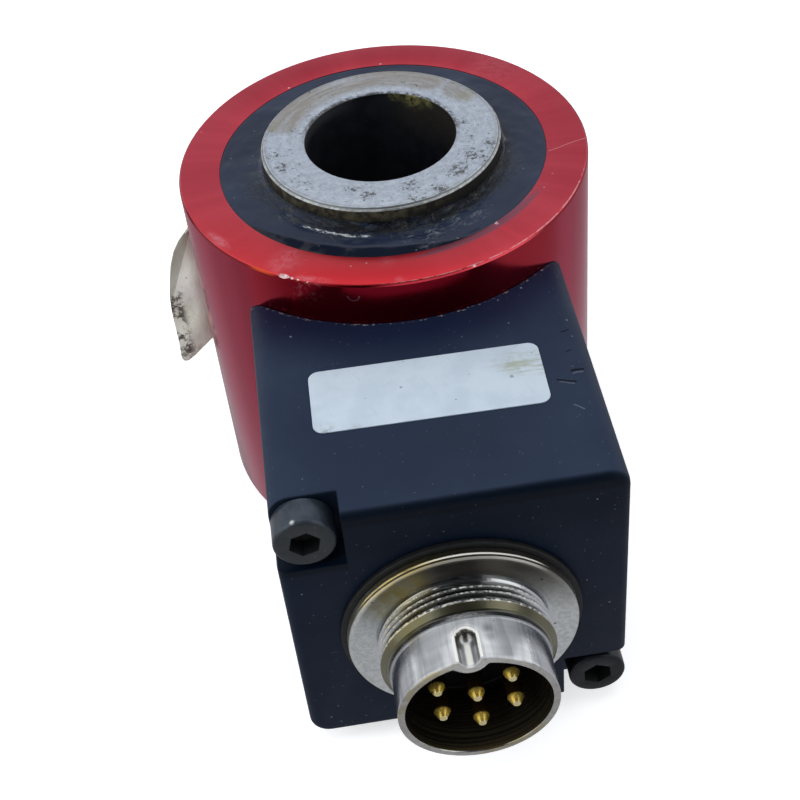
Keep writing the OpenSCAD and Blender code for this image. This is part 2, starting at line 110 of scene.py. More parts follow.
def new_node(kind, inputs, **settings):
    """A node beside the readings that it takes. Its inputs go by their number or name."""
    tree = next(value.tree for value in inputs.values() if isinstance(value, Reading))
    node = tree.nodes.new("ShaderNode" + kind)
    for setting, value in settings.items():
        setattr(node, setting, value)
    for where, value in inputs.items():
        plug_in(value, node.inputs[where])
    return node


def maths(operation, *values):
    return Reading(new_node("Math", dict(enumerate(values)), operation=operation).outputs[0])


def highest(found, *others):
    for other in others:
        found = maths("MAXIMUM", found, other)
    return found


def mixed(mask, under, over):
    """The colour under, with the colour over laid on where the mask is 1."""
    return Reading(new_node("Mix", {0: mask, 6: under, 7: over}, data_type="RGBA").outputs[2])


class Shader:
    """A new material. shader["Roughness"] = value fills that socket of its Principled node."""

    def __init__(self, name):
        self.material = bpy.data.materials.new(name)
        self.material.use_nodes = True
        self.tree = self.material.node_tree

    def __setitem__(self, socket, value):
        plug_in(value, self.tree.nodes["Principled BSDF"].inputs[socket])

    def place(self):
        """Place on the object, in metres."""
        return Reading(self.tree.nodes.new("ShaderNodeTexCoord").outputs["Object"])


def seen_directly(tree):
    """1 for what the camera, a reflection or a glass sees, 0 for what only lights."""
    rays = tree.nodes.new("ShaderNodeLightPath").outputs
    return highest(*[Reading(rays[f"Is {kind} Ray"]) for kind in ("Camera", "Glossy",
                                                                  "Transmission")])


def soft_lamp(name, place, aim, size, power):
    light = bpy.data.lights.new(name, "AREA")
    light.shape = "DISK"
    light.size = size
    light.energy = power
    lamp = bpy.data.objects.new(name, light)
    lamp.location = place
    lamp.rotation_euler = (Vector(aim) - Vector(place)).to_track_quat("-Z", "Y").to_euler()
    lamp.visible_glossy = False
    bpy.context.scene.collection.objects.link(lamp)


deselect()
bpy.ops.mesh.primitive_plane_add(size=4)
floor = bpy.context.object
floor.name = "floor"
shader = Shader("floor_white")
shader["Base Color"] = (228, 229, 231)
shader["Roughness"] = 0.9
shader["Specular IOR Level"] = 0.1
# Far from the object the lamps give less, so the floor glows more there
closeness = new_node("TexGradient", {"Vector": shader.place()}, gradient_type="SPHERICAL")
close_by = maths("MINIMUM", Reading(closeness.outputs["Fac"]) * 1.5, 1)
glow = mixed(close_by, (1, 1, 1, 1), (0.60, 0.60, 0.60, 1))
shader["Emission Color"] = mixed(seen_directly(shader.tree), (0, 0, 0, 1), glow)
shader["Emission Strength"] = 1
floor.data.materials.append(shader.material)

room = bpy.data.worlds.new("room")
bpy.context.scene.world = room
room.use_nodes = True
background = room.node_tree.nodes["Background"].inputs
air = mixed(seen_directly(room.node_tree), (0.34, 0.36, 0.39, 1), (1, 1, 1, 1))
plug_in(air, background["Color"])
background["Strength"].default_value = 1

middle = (0, -12 * mm, 20 * mm)
soft_lamp("lamp_left", (-0.45, -0.25, 0.48), middle, 0.40, 1.5)
soft_lamp("lamp_right", (0.50, -0.10, 0.42), middle, 0.30, 0.7)
soft_lamp("lamp_top", (-0.06, -0.16, 0.72), middle, 0.50, 2.0)

# Each board: its middle, its width and height, and how bright it looks
boards = [
    ((0.00, 0.78, 0.50), 1.60, 0.62, 0.57), ((0.00, 0.00, 0.0001), 0.90, 0.90, 0.44),
    ((-0.45, 0.32, 0.22), 0.10, 0.34, 0.20), ((0.36, 0.34, 0.24), 0.09, 0.26, 0.02),
    ((0.00, -0.55, 0.33), 0.70, 0.74, 0.02), ((0.00, -0.12, 0.84), 1.00, 0.84, 0.13),
    ((0.52, -0.22, 0.10), 0.28, 0.24, 0.02),
]
for number, (place, width, height, level) in enumerate(boards):
    shader = Shader(f"board_card_{number}")
    shader["Base Color"] = (0, 0, 0, 1)
    shader["Specular IOR Level"] = 0
    shader["Emission Color"] = (level, level, level * 1.06, 1)
    shader["Emission Strength"] = 1
    deselect()
    bpy.ops.mesh.primitive_plane_add(size=1, location=place)
    board = bpy.context.object
    board.name = f"board_{number}"
    board.scale = (width, height, 1)
    if place[2] > mm:
        board.rotation_euler = (Vector(middle) - Vector(place)).to_track_quat("Z", "Y").to_euler()
    board.data.materials.append(shader.material)
    for ray in ("camera", "diffuse", "shadow", "transmission"):
        setattr(board, f"visible_{ray}", False)

# Ring housing
# The red ring that guards the load sleeve: turned from aluminium bar, satin blasted and red
# anodised. Its edges carry the knocks of use, where bare metal shows.


def vector_maths(operation, vector, other, output="Vector"):
    return Reading(new_node("VectorMath", {0: vector, 1: other},
                            operation=operation).outputs[output])


def dot_product(vector, axis):
    return vector_maths("DOT_PRODUCT", vector, axis, "Value")


def distance_to(vector, point):
    return vector_maths("DISTANCE", vector, point, "Value")


def stretched(vector, *factors):
    return vector_maths("MULTIPLY", vector, factors)


def new_finish(name):
    """A new material's shader, and the place on the object in millimetres."""
    shader = Shader(name)
    return shader, stretched(shader.place(), 1000, 1000, 1000)


def split(vector):
    return [Reading(part) for part in new_node("SeparateXYZ", {0: vector}).outputs]


def joined(*parts):
    return Reading(new_node("CombineXYZ", dict(enumerate(parts))).outputs[0])


def scaled(value, factor, offset):
    return maths("MULTIPLY_ADD", value, factor, offset)


def step(value, low, high):
    """0 below low and 1 above high, with a soft change between; low may be above high."""
    limits = {0: value, 1: low, 2: high, 3: 0, 4: 1}
    return Reading(new_node("MapRange", limits, interpolation_type="SMOOTHSTEP").outputs[0])


def between(value, start, low, high, end):
    """1 from low to high, and softly 0 before start and past end."""
    return step(value, start, low) * step(value, end, high)


def cloud(vector, scale, detail=3, roughness=0.55, distortion=0):
    """Noise from about 0.2 to 0.8, with scale blobs to the millimetre."""
    return Reading(new_node("TexNoise",
                            {"Vector": vector, "Scale": scale, "Detail": detail,
                             "Roughness": roughness, "Distortion": distortion}).outputs[0])


def from_axis(vector):
    """Distance from the Z axis."""
    x, y = split(vector)[:2]
    return maths("SQRT", x * x + y * y)


def around(vector, radius_scale, height_scale, turn_scale):
    """Coordinates that run round the Z axis, for marks that a lathe leaves."""
    x, y, z = split(vector)
    bearing = maths("ARCTAN2", y, x)
    return joined(from_axis(vector) * radius_scale, z * height_scale, bearing * turn_scale)


def new_effect(name, output, *inputs):
    """A node group of a vector and some numbers. Gives the group, its readings and its end."""
    group = bpy.data.node_groups.new(name, "ShaderNodeTree")
    for label in inputs:
        kind = "NodeSocketVector" if label == "Vector" else "NodeSocketFloat"
        group.interface.new_socket(label, in_out="INPUT", socket_type=kind)
    group.interface.new_socket(output, in_out="OUTPUT", socket_type="NodeSocketFloat")
    readings = [Reading(socket) for socket in group.nodes.new("NodeGroupInput").outputs]
    return group, readings[:len(inputs)], group.nodes.new("NodeGroupOutput").inputs[0]


def effect(group, *values):
    return Reading(new_node("Group", dict(enumerate(values)), node_tree=group).outputs[0])


# Lathe marks: fine rings, with a pitch in millimetres. The vector's Z is the lathe's axis.
lathe_marks, (place, fineness), end = new_effect("lathe_marks", "Value", "Vector",
                                                 "Lines to the mm")
finer = new_node("VectorMath", {0: around(place, 1, 1, 0.25), "Scale": fineness}, operation="SCALE")
plug_in(cloud(Reading(finer.outputs[0]), 1, 2, 0.6), end)

# Specks: round or ragged spots of dust, pits or dirt, in the share of places that Share gives
specks, (place, fineness, share), end = new_effect("specks", "Mask", "Vector", "Spots to the mm",
                                                   "Share")
ragged = joined(cloud(place, 6, 2) * 0.12, 0, 0)
cells = new_node("TexVoronoi",
                 {"Vector": vector_maths("ADD", place, ragged), "Scale": fineness}).outputs
draw = split(Reading(cells["Color"]))
spot = maths("LESS_THAN", Reading(cells["Distance"]), scaled(draw[1], 0.22, 0.06))
plug_in(maths("LESS_THAN", draw[0], share) * spot, end)

# Hairlines: thin broken scratches that run every way
hairlines, (place, fineness), end = new_effect("hairlines", "Mask", "Vector", "Lines to the mm")
both = []
for turn in (0.5, 1.9):
    along = dot_product(place, (math.cos(turn), math.sin(turn), 0.3))
    across = dot_product(place, (-math.sin(turn), math.cos(turn), 0.2))
    level = cloud(joined(along * 0.05, across * fineness, turn), 1, 1)
    broken = step(cloud(place, 0.35, 2), 0.52, 0.62)
    both.append(step(abs(level - 0.5), 0.012, 0.002) * broken)
plug_in(highest(*both), end)


def bumped(shader, height, depth):
    """Relief on the shader's normal. Depth is in millimetres for a height of 1."""
    node = new_node("Bump", {"Height": height, "Strength": 1, "Distance": depth * mm})
    shader["Normal"] = Reading(node.outputs[0])


def take_up(piece):
    """Selects one piece alone and makes it the active one."""
    deselect()
    bpy.context.view_layer.objects.active = piece
    piece.select_set(True)


def apply_modifiers(piece):
    take_up(piece)
    for modifier in list(piece.modifiers):
        bpy.ops.object.modifier_apply(modifier=modifier.name)


def smoothed(piece, degrees=30):
    take_up(piece)
    bpy.ops.object.shade_smooth_by_angle(angle=math.radians(degrees))
    return piece


def faces_out(piece, weld=0):
    """Merges points closer than weld, where it is given, and turns every face outwards."""
    take_up(piece)
    bpy.ops.object.mode_set(mode="EDIT")
    bpy.ops.mesh.select_all(action="SELECT")
    if weld:
        bpy.ops.mesh.remove_doubles(threshold=weld * mm)
    bpy.ops.mesh.normals_make_consistent(inside=False)
    bpy.ops.object.mode_set(mode="OBJECT")


def softened(piece, width, segments=2):
    """Breaks the sharp edges by a small round, as a file or the finish leaves them."""
    bevel = piece.modifiers.new("edges", "BEVEL")
    bevel.width = width * mm
    bevel.segments = segments
    bevel.limit_method = "ANGLE"
    bevel.angle_limit = math.radians(30)
    bevel.use_clamp_overlap = True
    apply_modifiers(piece)
    return smoothed(piece)


def arc(middle_r, middle_z, radius, first, last, steps):
    """Points of an arc in the outline of a turned piece, from one angle to another."""
    turns = [math.radians(first + (last - first) * i / steps) for i in range(steps + 1)]
    return [(middle_r + radius * math.cos(a), middle_z + radius * math.sin(a)) for a in turns]


def turned(name, outline, steps=192, closed=True):
    """A lathe's work: one point is extruded along the outline of radius and height, in
    millimetres, and spun round the Z axis."""
    same_point = 0.0005
    deselect()
    bpy.ops.mesh.primitive_plane_add(size=mm, location=(0, 0, 0))
    piece = bpy.context.object
    piece.name = name
    bpy.ops.object.mode_set(mode="EDIT")
    bpy.ops.mesh.merge(type="CENTER")
    radius, height = outline[0]
    bpy.ops.transform.translate(value=(radius * mm, 0, height * mm))
    ends = outline[1:] + [outline[0]] if closed else outline[1:]
    for next_radius, next_height in ends:
        move = ((next_radius - radius) * mm, 0, (next_height - height) * mm)
        bpy.ops.mesh.extrude_region_move(TRANSFORM_OT_translate={"value": move})
        radius, height = next_radius, next_height
    bpy.ops.mesh.select_all(action="SELECT")
    bpy.ops.mesh.remove_doubles(threshold=same_point * mm)
    bpy.ops.mesh.select_all(action="SELECT")
    bpy.ops.mesh.spin(steps=steps, angle=math.tau, center=(0, 0, 0), axis=(0, 0, 1))
    faces_out(piece, same_point)
    return piece


def placed(piece, location=(0, 0, 0), turn=(0, 0, 0)):
    """Turns and moves a piece, and writes its place into its mesh."""
    piece.location = [part * mm for part in location]
    piece.rotation_euler = [math.radians(part) for part in turn]
    take_up(piece)
    bpy.ops.object.transform_apply(location=True, rotation=True, scale=True)
    return piece


def drill(diameter, length, location, turn=(0, 0, 0), sides=64):
    """A cutter as long as the hole, standing at its middle."""
    deselect()
    bpy.ops.mesh.primitive_cylinder_add(vertices=sides, radius=diameter / 2 * mm, depth=length * mm)
    return placed(bpy.context.object, location, turn)


def cut(piece, cutters):
    """Takes the cutters' shapes out of a piece. Cut faces keep the cutter's material."""
    for cutter in cutters:
        boolean = piece.modifiers.new("cut", "BOOLEAN")
        boolean.operation = "DIFFERENCE"
        boolean.solver = "EXACT"
        boolean.material_mode = "TRANSFER"
        boolean.object = cutter
        apply_modifiers(piece)
        bpy.data.objects.remove(cutter)
    return piece


def finish_piece(piece, slot, *nodes):
    """The piece rides on the body and stands for its CAD nodes. The slot is not used."""
    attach(piece, "root")
    if nodes:
        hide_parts(*nodes)


ring_r = 21
ring_low = 0.5
ring_top = 38.5
seat_r = 16.8
chamber_r = 16
ring_chamfer = 0.2
seal_z = 36.5
loom_z = 22
loom_hole_d = 5
tapped_hole_d = 3
# The block's height up the ring, and how far its screws stand out from its middle
block_z = 18.4
screw_out = 12.7
# The turn that points a piece made along Z out of the block's front
to_front = (90, 0, 0)
# Knocks on the ring: bearing, radius and height of the middle, and the size of the dent
ring_knocks = [
    (-152.5, 21.06, 38.5, 0.22), (-138, 21.06, 38.52, 0.22), (-123.2, 20.9, 38.6, 0.40),
    (-121.2, 20.96, 38.58, 0.30), (-119.3, 21.04, 38.5, 0.26), (-116.4, 21.06, 38.5, 0.22),
    (-92, 21.05, 38.5, 0.20), (-72.3, 21.03, 38.5, 0.24), (17, 21.05, 38.5, 0.28),
    (96, 21.05, 38.5, 0.26), (151, 21.1, 0.6, 0.4), (40, 21.1, 0.55, 0.4),
    (-56.5, 16.8, 38.55, 0.18),
]


def round_axis(bearing, radius, height):
    """Place at a bearing round the bore, in millimetres."""
    turn = math.radians(bearing)
    return (radius * math.cos(turn), radius * math.sin(turn), height)


def towards(vector, bearing, low, high):
    """1 on the side that faces a bearing. The limits are distances from the Z axis."""
    turn = math.radians(bearing)
    return step(dot_product(vector, (math.cos(turn), math.sin(turn), 0)), low, high)


def near_any(place, spots, height=None):
    """The strongest of a few soft round patches: each its point, its reach and its strength.
    Points of two numbers lie at the height."""
    patches = []
    for *spot, reach, strength in spots:
        if height is not None:
            spot.append(height)
        patches.append(step(distance_to(place, spot), reach, 0) * strength)
    return highest(*patches)


def smear(place, middle, bearing, half_length, half_width):
    """A soft oval patch on a flat face. The bearing is the way its length runs."""
    turn = math.radians(bearing)
    ways = (Vector((math.cos(turn), math.sin(turn), 0)),
            Vector((-math.sin(turn), math.cos(turn), 0)))
    squares = []
    for way, half in zip(ways, (half_length, half_width)):
        off = (dot_product(place, way) - way.xy.dot(middle)) / half
        squares.append(maths("POWER", abs(off), 2))
    return step(maths("SQRT", squares[0] + squares[1]), 1, 0.1)


def thin_line(place, first, last, half_width):
    """A straight scratch between two points of a flat face, given in millimetres."""
    ends = (Vector((*first, 0)), Vector((*last, 0)))
    run = (ends[1] - ends[0]).normalized()
    side = Vector((-run.y, run.x, 0))
    off = dot_product(place, side) + scaled(cloud(place, 0.9, 2), 0.3, -0.15 - side.dot(ends[0]))
    along = dot_product(place, run)
    line = step(abs(off), half_width, half_width * 0.4)
    line *= maths("GREATER_THAN", along, run.dot(ends[0]))
    return line * maths("LESS_THAN", along, run.dot(ends[1]))


def anodised_red():
    shader, place = new_finish("anodised_red")
    x, y, z = split(place)
    radius = from_axis(place)
    on_top = step(z, ring_top - 0.12, ring_top - 0.03)
    # The land shows faint rays from the turning tool. Towards the plug it carries a painted
    # highlight, and on the far side painted shade
    ray = joined(maths("ARCTAN2", y, x), 0, 0)
    rays = step(cloud(ray, 3.4, 3, 0.6), 0.35, 0.65)
    top_red = mixed(rays, (196, 60, 76), (212, 74, 88))
    plug_side_highlight = step(y, 0, -19) * step(x, 20, -6)
    top_red = mixed(plug_side_highlight, top_red, (226, 58, 66))
    far_side_shade = highest(step(y, 6, 19) * 0.45, step(x, 12, 20) * 0.3)
    top_red = mixed(far_side_shade, top_red, (164, 34, 50))
    # The side is pinker at the left, in soft upright bands of painted reflection
    reflection_bands = step(cloud(ray, 3.5, 1), 0.34, 0.66)
    side_red = mixed(reflection_bands, (160, 40, 62), (182, 56, 80))
    # Over the block the side is painted darker, a painted reflection of the block's dark top
    above_block = step(z, 32, 34.5)
    block_reflection_wide = towards(place, -90, 13.4, 16) * above_block
    block_reflection = towards(place, -98, 16.9, 19.9) * above_block
    side_red = mixed(block_reflection_wide, side_red, (172, 24, 44))
    side_red = mixed(block_reflection, side_red, (126, 11, 28))
    # The chamfer is painted dark red as painted shade, with a painted highlight on it at the front
    on_chamfer = step(z, ring_top - ring_chamfer - 0.06, ring_top - ring_chamfer)
    chamfer_highlight = on_chamfer * towards(place, -75, 18.6, 20.2)
    red = mixed(on_chamfer, side_red, (112, 8, 18))
    red = mixed(chamfer_highlight, red, (222, 64, 76))
    red = mixed(on_top, red, top_red)
    # The colour is rubbed thin in patches beside the knocks, and grey along the seal's seat
    rubbed = near_any(place, [
        (-11.2, -15.3, 2.6, 0.45), (14, 13, 4.5, 0.25), (-1.6, -17.6, 1.2, 0.25),
        (-0.8, -20.4, 0.7, 0.5),
    ], ring_top)
    for strength, *oval in ((0.9, (-17.35, -10.5), -58, 2.5, 0.75),
                            (0.6, (-11.2, -15.1), -124, 2.9, 1.3),
                            (0.6, (-9.0, -18.5), -23, 3.1, 0.7)):
        rubbed = highest(rubbed, smear(place, *oval) * strength)
    rubbed *= step(cloud(place, 1.6, 5, 0.75), 0.3, 0.66)
    rubbed *= on_top
    red = mixed(rubbed, red, (236, 138, 150))
    by_seat = step(radius, seat_r + 1.0, seat_r + 0.7) * towards(place, -60, 15.2, 16.4)
    by_seat *= on_top
    red = mixed(by_seat * 0.75, red, (128, 88, 106))
    # A long hair scratch across the land, specks of dust, and pale grains stuck in the seat
    hair = on_top * thin_line(place, (16.6, -3.75), (20.9, -2.35), 0.07)
    red = mixed(hair * 0.75, red, (236, 150, 158))
    grains = near_any(place, [
        (-15.6, -5.4, 0.34, 1), (9.4, -14.2, 0.3, 1), (-16.1, -3.1, 0.2, 1), (-5.1, -17.4, 0.13, 1),
        (-3.6, -17.3, 0.15, 1), (-8.5, 14.8, 0.24, 1), (1.9, 17.0, 0.2, 1),
    ], ring_top)
    grains = step(grains, 0.3, 0.5)
    dust = effect(specks, place, 2.4, 0.012) * 0.35
    grains = highest(grains * 0.8, dust)
    red = mixed(grains, red, (230, 198, 202))
    # Bare metal and a painted highlight glint along the top edge at the front and right, and a hook
    # is scratched below
    edge = step(abs(radius - (ring_r - ring_chamfer - 0.01)), 0.07, 0.03)
    edge *= on_top * towards(place, -58, 15.5, 18)
    edge *= step(cloud(place, 1.4, 4, 0.7), 0.4, 0.56)
    ring_mark = distance_to(place, (-5.3, -20.3, 37.25))
    hook = step(abs(ring_mark - 0.55), 0.1, 0.04)
    hook *= step(z, 37.35, 37.2)
    low_rub = (step(distance_to(place, (-9.4, -18.8, 37.4)), 2.4, 0.8)
               * step(cloud(place, 2.2, 4, 0.7), 0.5, 0.62))
    bare = highest(hook * 0.35, low_rub * 0.12, edge * 0.8)
    red = mixed(bare, red, (232, 170, 174))
    # A painted orange highlight lies on the edge at the left of the front
    orange_edge_highlight = step(distance_to(place, (-13.5, -16.0, ring_top - 0.1)), 1.9, 0.4)
    orange_edge_highlight *= step(radius, ring_r - 0.24, ring_r - 0.2)
    orange_edge_highlight *= step(z, ring_top - ring_chamfer - 0.1, ring_top - ring_chamfer)
    red = mixed(orange_edge_highlight * 0.6, red, (226, 84, 34))
    shader["Base Color"] = red
    chamfer_highlight *= 1 - on_top
    shader["Metallic"] = scaled(chamfer_highlight, -0.6, 0.94)
    shader["Specular Tint"] = (1, 0.62, 0.7, 1)
    rough = scaled(cloud(place, 0.5, 3), 0.08, 0.13)
    rough += on_top * 0.13
    shader["Roughness"] = rough + rubbed * 0.15
    shader["Coat Weight"] = scaled(block_reflection, -0.34, 0.34)
    shader["Coat Roughness"] = 0.14
    grain = effect(lathe_marks, place, 7)
    fine_grain = cloud(place, 14, 2)
    relief = grain * 0.5 + fine_grain * 0.4
    relief -= hair * 0.8
    bumped(shader, relief, 0.006)
    return shader.material


def bare_aluminium():
    shader, place = new_finish("bare_aluminium")
    silver = mixed(step(cloud(place, 5, 4), 0.4, 0.6), (216, 150, 152), (236, 224, 222))
    shader["Base Color"] = silver
    shader["Metallic"] = 0.5
    shader["Roughness"] = 0.42
    bumped(shader, cloud(place, 9, 3), 0.03)
    return shader.material


ring = turned("ring_housing_turned", [
    (chamber_r, ring_low), (ring_r - ring_chamfer, ring_low), (ring_r, ring_low + ring_chamfer),
    (ring_r, ring_top - ring_chamfer), (ring_r - ring_chamfer, ring_top), (seat_r, ring_top),
    (seat_r, seal_z), (chamber_r, seal_z),
], steps=240)
ring.data.materials.append(anodised_red())
bare_metal = bare_aluminium()
cut(ring, [drill(loom_hole_d, 8, (0, -18.5, loom_z), to_front)])
cut(ring, [drill(tapped_hole_d, 9.2, (s * screw_out, -17.4, block_z - s * screw_out), to_front)
           for s in (-1, 1)])
softened(ring, 0.06)
random.seed(4)
for bearing, radius, height, size in ring_knocks:
    deselect()
    bpy.ops.mesh.primitive_ico_sphere_add(subdivisions=2, radius=size * mm)
    dent = bpy.context.object
    dent.scale = (1, random.uniform(0.9, 1.9), random.uniform(0.5, 0.8))
    placed(dent, round_axis(bearing, radius, height), (random.uniform(-15, 15), 0, bearing))
    dent.data.materials.append(bare_metal)
    cut(ring, [dent])
smoothed(ring)
finish_piece(ring, "red_anodised", "ring_housing")

# Measuring body
# The steel sleeve that takes the load, turned in one piece: a load ring on top, a thinned
# stretch for the strain gauges and a base flange. Its working face is ground bright, and
# pitted and stained by use; its bore goes right through.
bore_r = 7.7
load_r = 12.25
load_top = 40.7
thin_r = 10
base_r = 15.98
base_t = 5
base_groove = (1.7, 3.3, 1.2)
zone_low = 12
zone_high = 28
zone_fillet = 1.5


def used_steel():
    shader, place = new_finish("used_steel")
    radius = from_axis(place)
    z = split(place)[2]
    arc_wise = around(place, 2.2, 1, 4)
    # Working face: a mottled bluish white, smeared along the turning and spotted with grey
    mottle = step(cloud(place, 1.5, 6, 0.72), 0.36, 0.64)
    face = mixed(mottle, (176, 186, 200), (200, 210, 222))
    smears = step(cloud(arc_wise, 1, 5, 0.7), 0.5, 0.66)
    face = mixed(smears * 0.22, face, (140, 146, 154))
    pale = step(cloud(arc_wise, 1.7, 4, 0.65, 1), 0.55, 0.7)
    face = mixed(pale * 0.4, face, (222, 229, 238))
    # Brown tarnish lies over the rear left, and a fainter one on the rear right
    tarnish = near_any(place, [
        (-9.4, 5.9, 4.2, 1), (-7.9, 8.3, 4.4, 1), (-5.0, 10.0, 4.4, 1), (-1.5, 10.9, 4.2, 0.9),
        (2.6, 10.8, 3.8, 0.8), (6.0, 9.4, 3.6, 0.8), (9.4, 6.4, 3.2, 0.7),
    ], load_top)
    streaky = step(cloud(around(place, 1.6, 1, 1), 1, 4, 0.6), 0.15, 0.5)
    finer_arcs = step(cloud(around(place, 3.4, 1, 2.6), 1, 4, 0.7), 0.3, 0.6)
    streaky *= scaled(finer_arcs, 0.5, 0.5)
    tarnish = step(tarnish, 0, 0.4) * streaky
    tarnish *= step(radius, 8.2, 9.9)
    face = mixed(tarnish * 0.85, face, (150, 142, 128))
    olive = near_any(place, [(-10.7, 4.3, 1.4, 1), (9.9, 4.7, 1.6, 0.8)], load_top)
    olive *= step(cloud(place, 1.8, 4, 0.7), 0.4, 0.6)
    face = mixed(olive * 0.7, face, (158, 156, 116))
    # Ragged pits and ingrained dirt, in crowds towards the front and the right
    crowd = near_any(place, [
        (-3.8, -8.7, 1.1, 0.9), (-2.3, -9.6, 1.4, 0.9), (-10.9, -0.7, 1.2, 0.7),
        (-10.4, -3.2, 1.6, 0.8), (8.5, 0.3, 1.3, 0.75), (8.8, -2.4, 1.2, 0.5),
        (8.6, -5.6, 2.0, 0.8), (10.6, -4.1, 1.4, 0.8), (6.8, -7.8, 2.2, 0.85),
        (9.6, -7.2, 1.8, 0.7), (1.8, -9.3, 1.7, 0.8), (4.6, -10.4, 2.0, 0.75),
        (2.2, -11.2, 1.6, 0.7), (-8.5, 2.9, 1.2, 0.55), (-6.6, 5.2, 1.4, 0.5),
        (-8.9, -6.4, 1.8, 0.4),
    ], load_top)
    ragged = cloud(place, 2.4, 6, 0.72, 0.1)
    limit = scaled(crowd, -0.14, 0.63)
    pits = step(ragged - limit, -0.008, 0.016)
    scattered = towards(place, -45, -2, 7) * effect(specks, place, 2.6, 0.2)
    pits = highest(pits, scattered * step(crowd, 0, 0.4))
    dirt = crowd * step(cloud(place, 2.1, 5, 0.75), 0.44, 0.66)
    face = mixed(dirt * 0.65, face, (108, 114, 122))
    face = mixed(pits * 0.88, face, (46, 44, 42))
    face = mixed(effect(hairlines, place, 4) * 0.25, face, (120, 124, 132))
    # A grey line of dirt runs just inside the edge of the face
    dirt_line = between(radius, 11.55, 11.75, 11.8, 11.95)
    face = mixed(dirt_line * 0.3, face, (128, 130, 130))
    # Dark grime hangs on the rim of the bore, most at its rear
    rim_grime = step(radius, 8.35, 7.85) * towards(place, 80, -3, 3.5)
    rim_grime *= step(cloud(place, 1.7, 4, 0.7), 0.36, 0.56)
    face = mixed(rim_grime * 0.9, face, (52, 50, 44))
    on_face = step(z, load_top - 0.05, load_top - 0.02)
    # Side of the load ring: olive brown grime over the steel, black where it meets the seal
    grime = mixed(step(cloud(place, 0.9, 5, 0.7), 0.38, 0.62), (30, 30, 27), (88, 85, 66))
    grime = mixed(towards(place, -128, 3, 11), (34, 34, 30), grime)
    low_side = step(z, ring_top + 1.4, ring_top + 0.4)
    grime = mixed(low_side * 0.8, grime, (18, 19, 18))
    edge_steel = mixed(step(cloud(place, 1.6, 4, 0.65), 0.35, 0.65), (150, 156, 158),
                       (202, 207, 208))
    edge_steel = mixed(step(z, load_top - 0.2, load_top - 0.15), edge_steel, (122, 126, 126))
    side = mixed(step(z, load_top - 0.36, load_top - 0.31), grime, edge_steel)
    # Bore: painted near black, as painted shade, lighter and browner on its upper rear right, with
    # olive grease at the top of its rear right side
    bore = mixed(step(cloud(place, 0.5, 3), 0.35, 0.65), (10, 12, 18), (20, 22, 28))
    rear_right_brown = towards(place, 30, 4.5, 7.6) * step(z, 34, 39.5)
    bore = mixed(rear_right_brown * 0.6, bore, (44, 40, 34))
    # A painted highlight runs down the lip on the left
    bore_lip_highlight = towards(place, 165, 3, 7.4) * step(z, load_top - 1.7, load_top - 0.3)
    bore = mixed(bore_lip_highlight * 0.5, bore, (74, 76, 78))
    grease = near_any(place, [
        (4.2, 6.4, 40.4, 1.9, 1), (5.6, 5.3, 40.5, 1.3, 0.8), (2.4, 7.3, 40.5, 1.1, 0.7),
    ])
    grease *= step(cloud(place, 2.2, 4, 0.65), 0.38, 0.6)
    bore = mixed(grease * 0.85, bore, (128, 126, 74))
    # The base below the seal's room stays as turned, with a little rust in the grooves
    base = mixed(step(cloud(place, 0.4, 4, 0.65), 0.5, 0.68), (150, 152, 154), (118, 96, 74))
    side = mixed(step(z, 34, 30), side, base)
    steel = mixed(on_face, side, face)
    in_bore = step(radius, bore_r + 0.08, bore_r + 0.03)
    steel = mixed(in_bore, steel, bore)
    shader["Base Color"] = steel
    metal = scaled(in_bore, -0.6, 0.7) * (1 - pits)
    dulled = (1 - on_face) * step(z, load_top - 0.31, load_top - 0.36)
    metal *= scaled(dulled, -0.5, 1)
    shader["Metallic"] = metal
    rough = scaled(cloud(place, 1.6, 5, 0.7), 0.4, 0.16)
    shader["Roughness"] = rough + dulled * 0.15
    rings = effect(lathe_marks, place, 9)
    relief = rings * 0.15 - pits
    relief += mottle * 0.12
    bumped(shader, relief, 0.03)
    return shader.material


body = turned("measuring_body_turned", [
    (bore_r, 0), (base_r - 0.3, 0), (base_r, 0.3), (base_r, base_groove[0]),
    (base_r - base_groove[2], base_groove[0]), (base_r - base_groove[2], base_groove[1]),
    (base_r, base_groove[1]), (base_r, base_t), (load_r, base_t), (load_r, zone_low),
    *arc(thin_r + zone_fillet, zone_low + zone_fillet, zone_fillet, 270, 180, 6),
    *arc(thin_r + zone_fillet, zone_high - zone_fillet, zone_fillet, 180, 90, 6),
    (load_r, zone_high), (load_r, load_top - 0.34), (load_r - 0.1, load_top - 0.2),
    (load_r - 0.16, load_top - 0.2), (load_r - 0.3, load_top), (bore_r + 0.1, load_top),
    (bore_r, load_top - 0.12),
], steps=240)
body.data.materials.append(used_steel())
softened(body, 0.03)
finish_piece(body, "bright_steel", "measuring_body")

# Seals
# Black compound potted between the load ring and the red ring. It set glossy, crept up the
# steel in an uneven bead and caught dust. A rubber ring seals the base the same way.
bead = 0.7


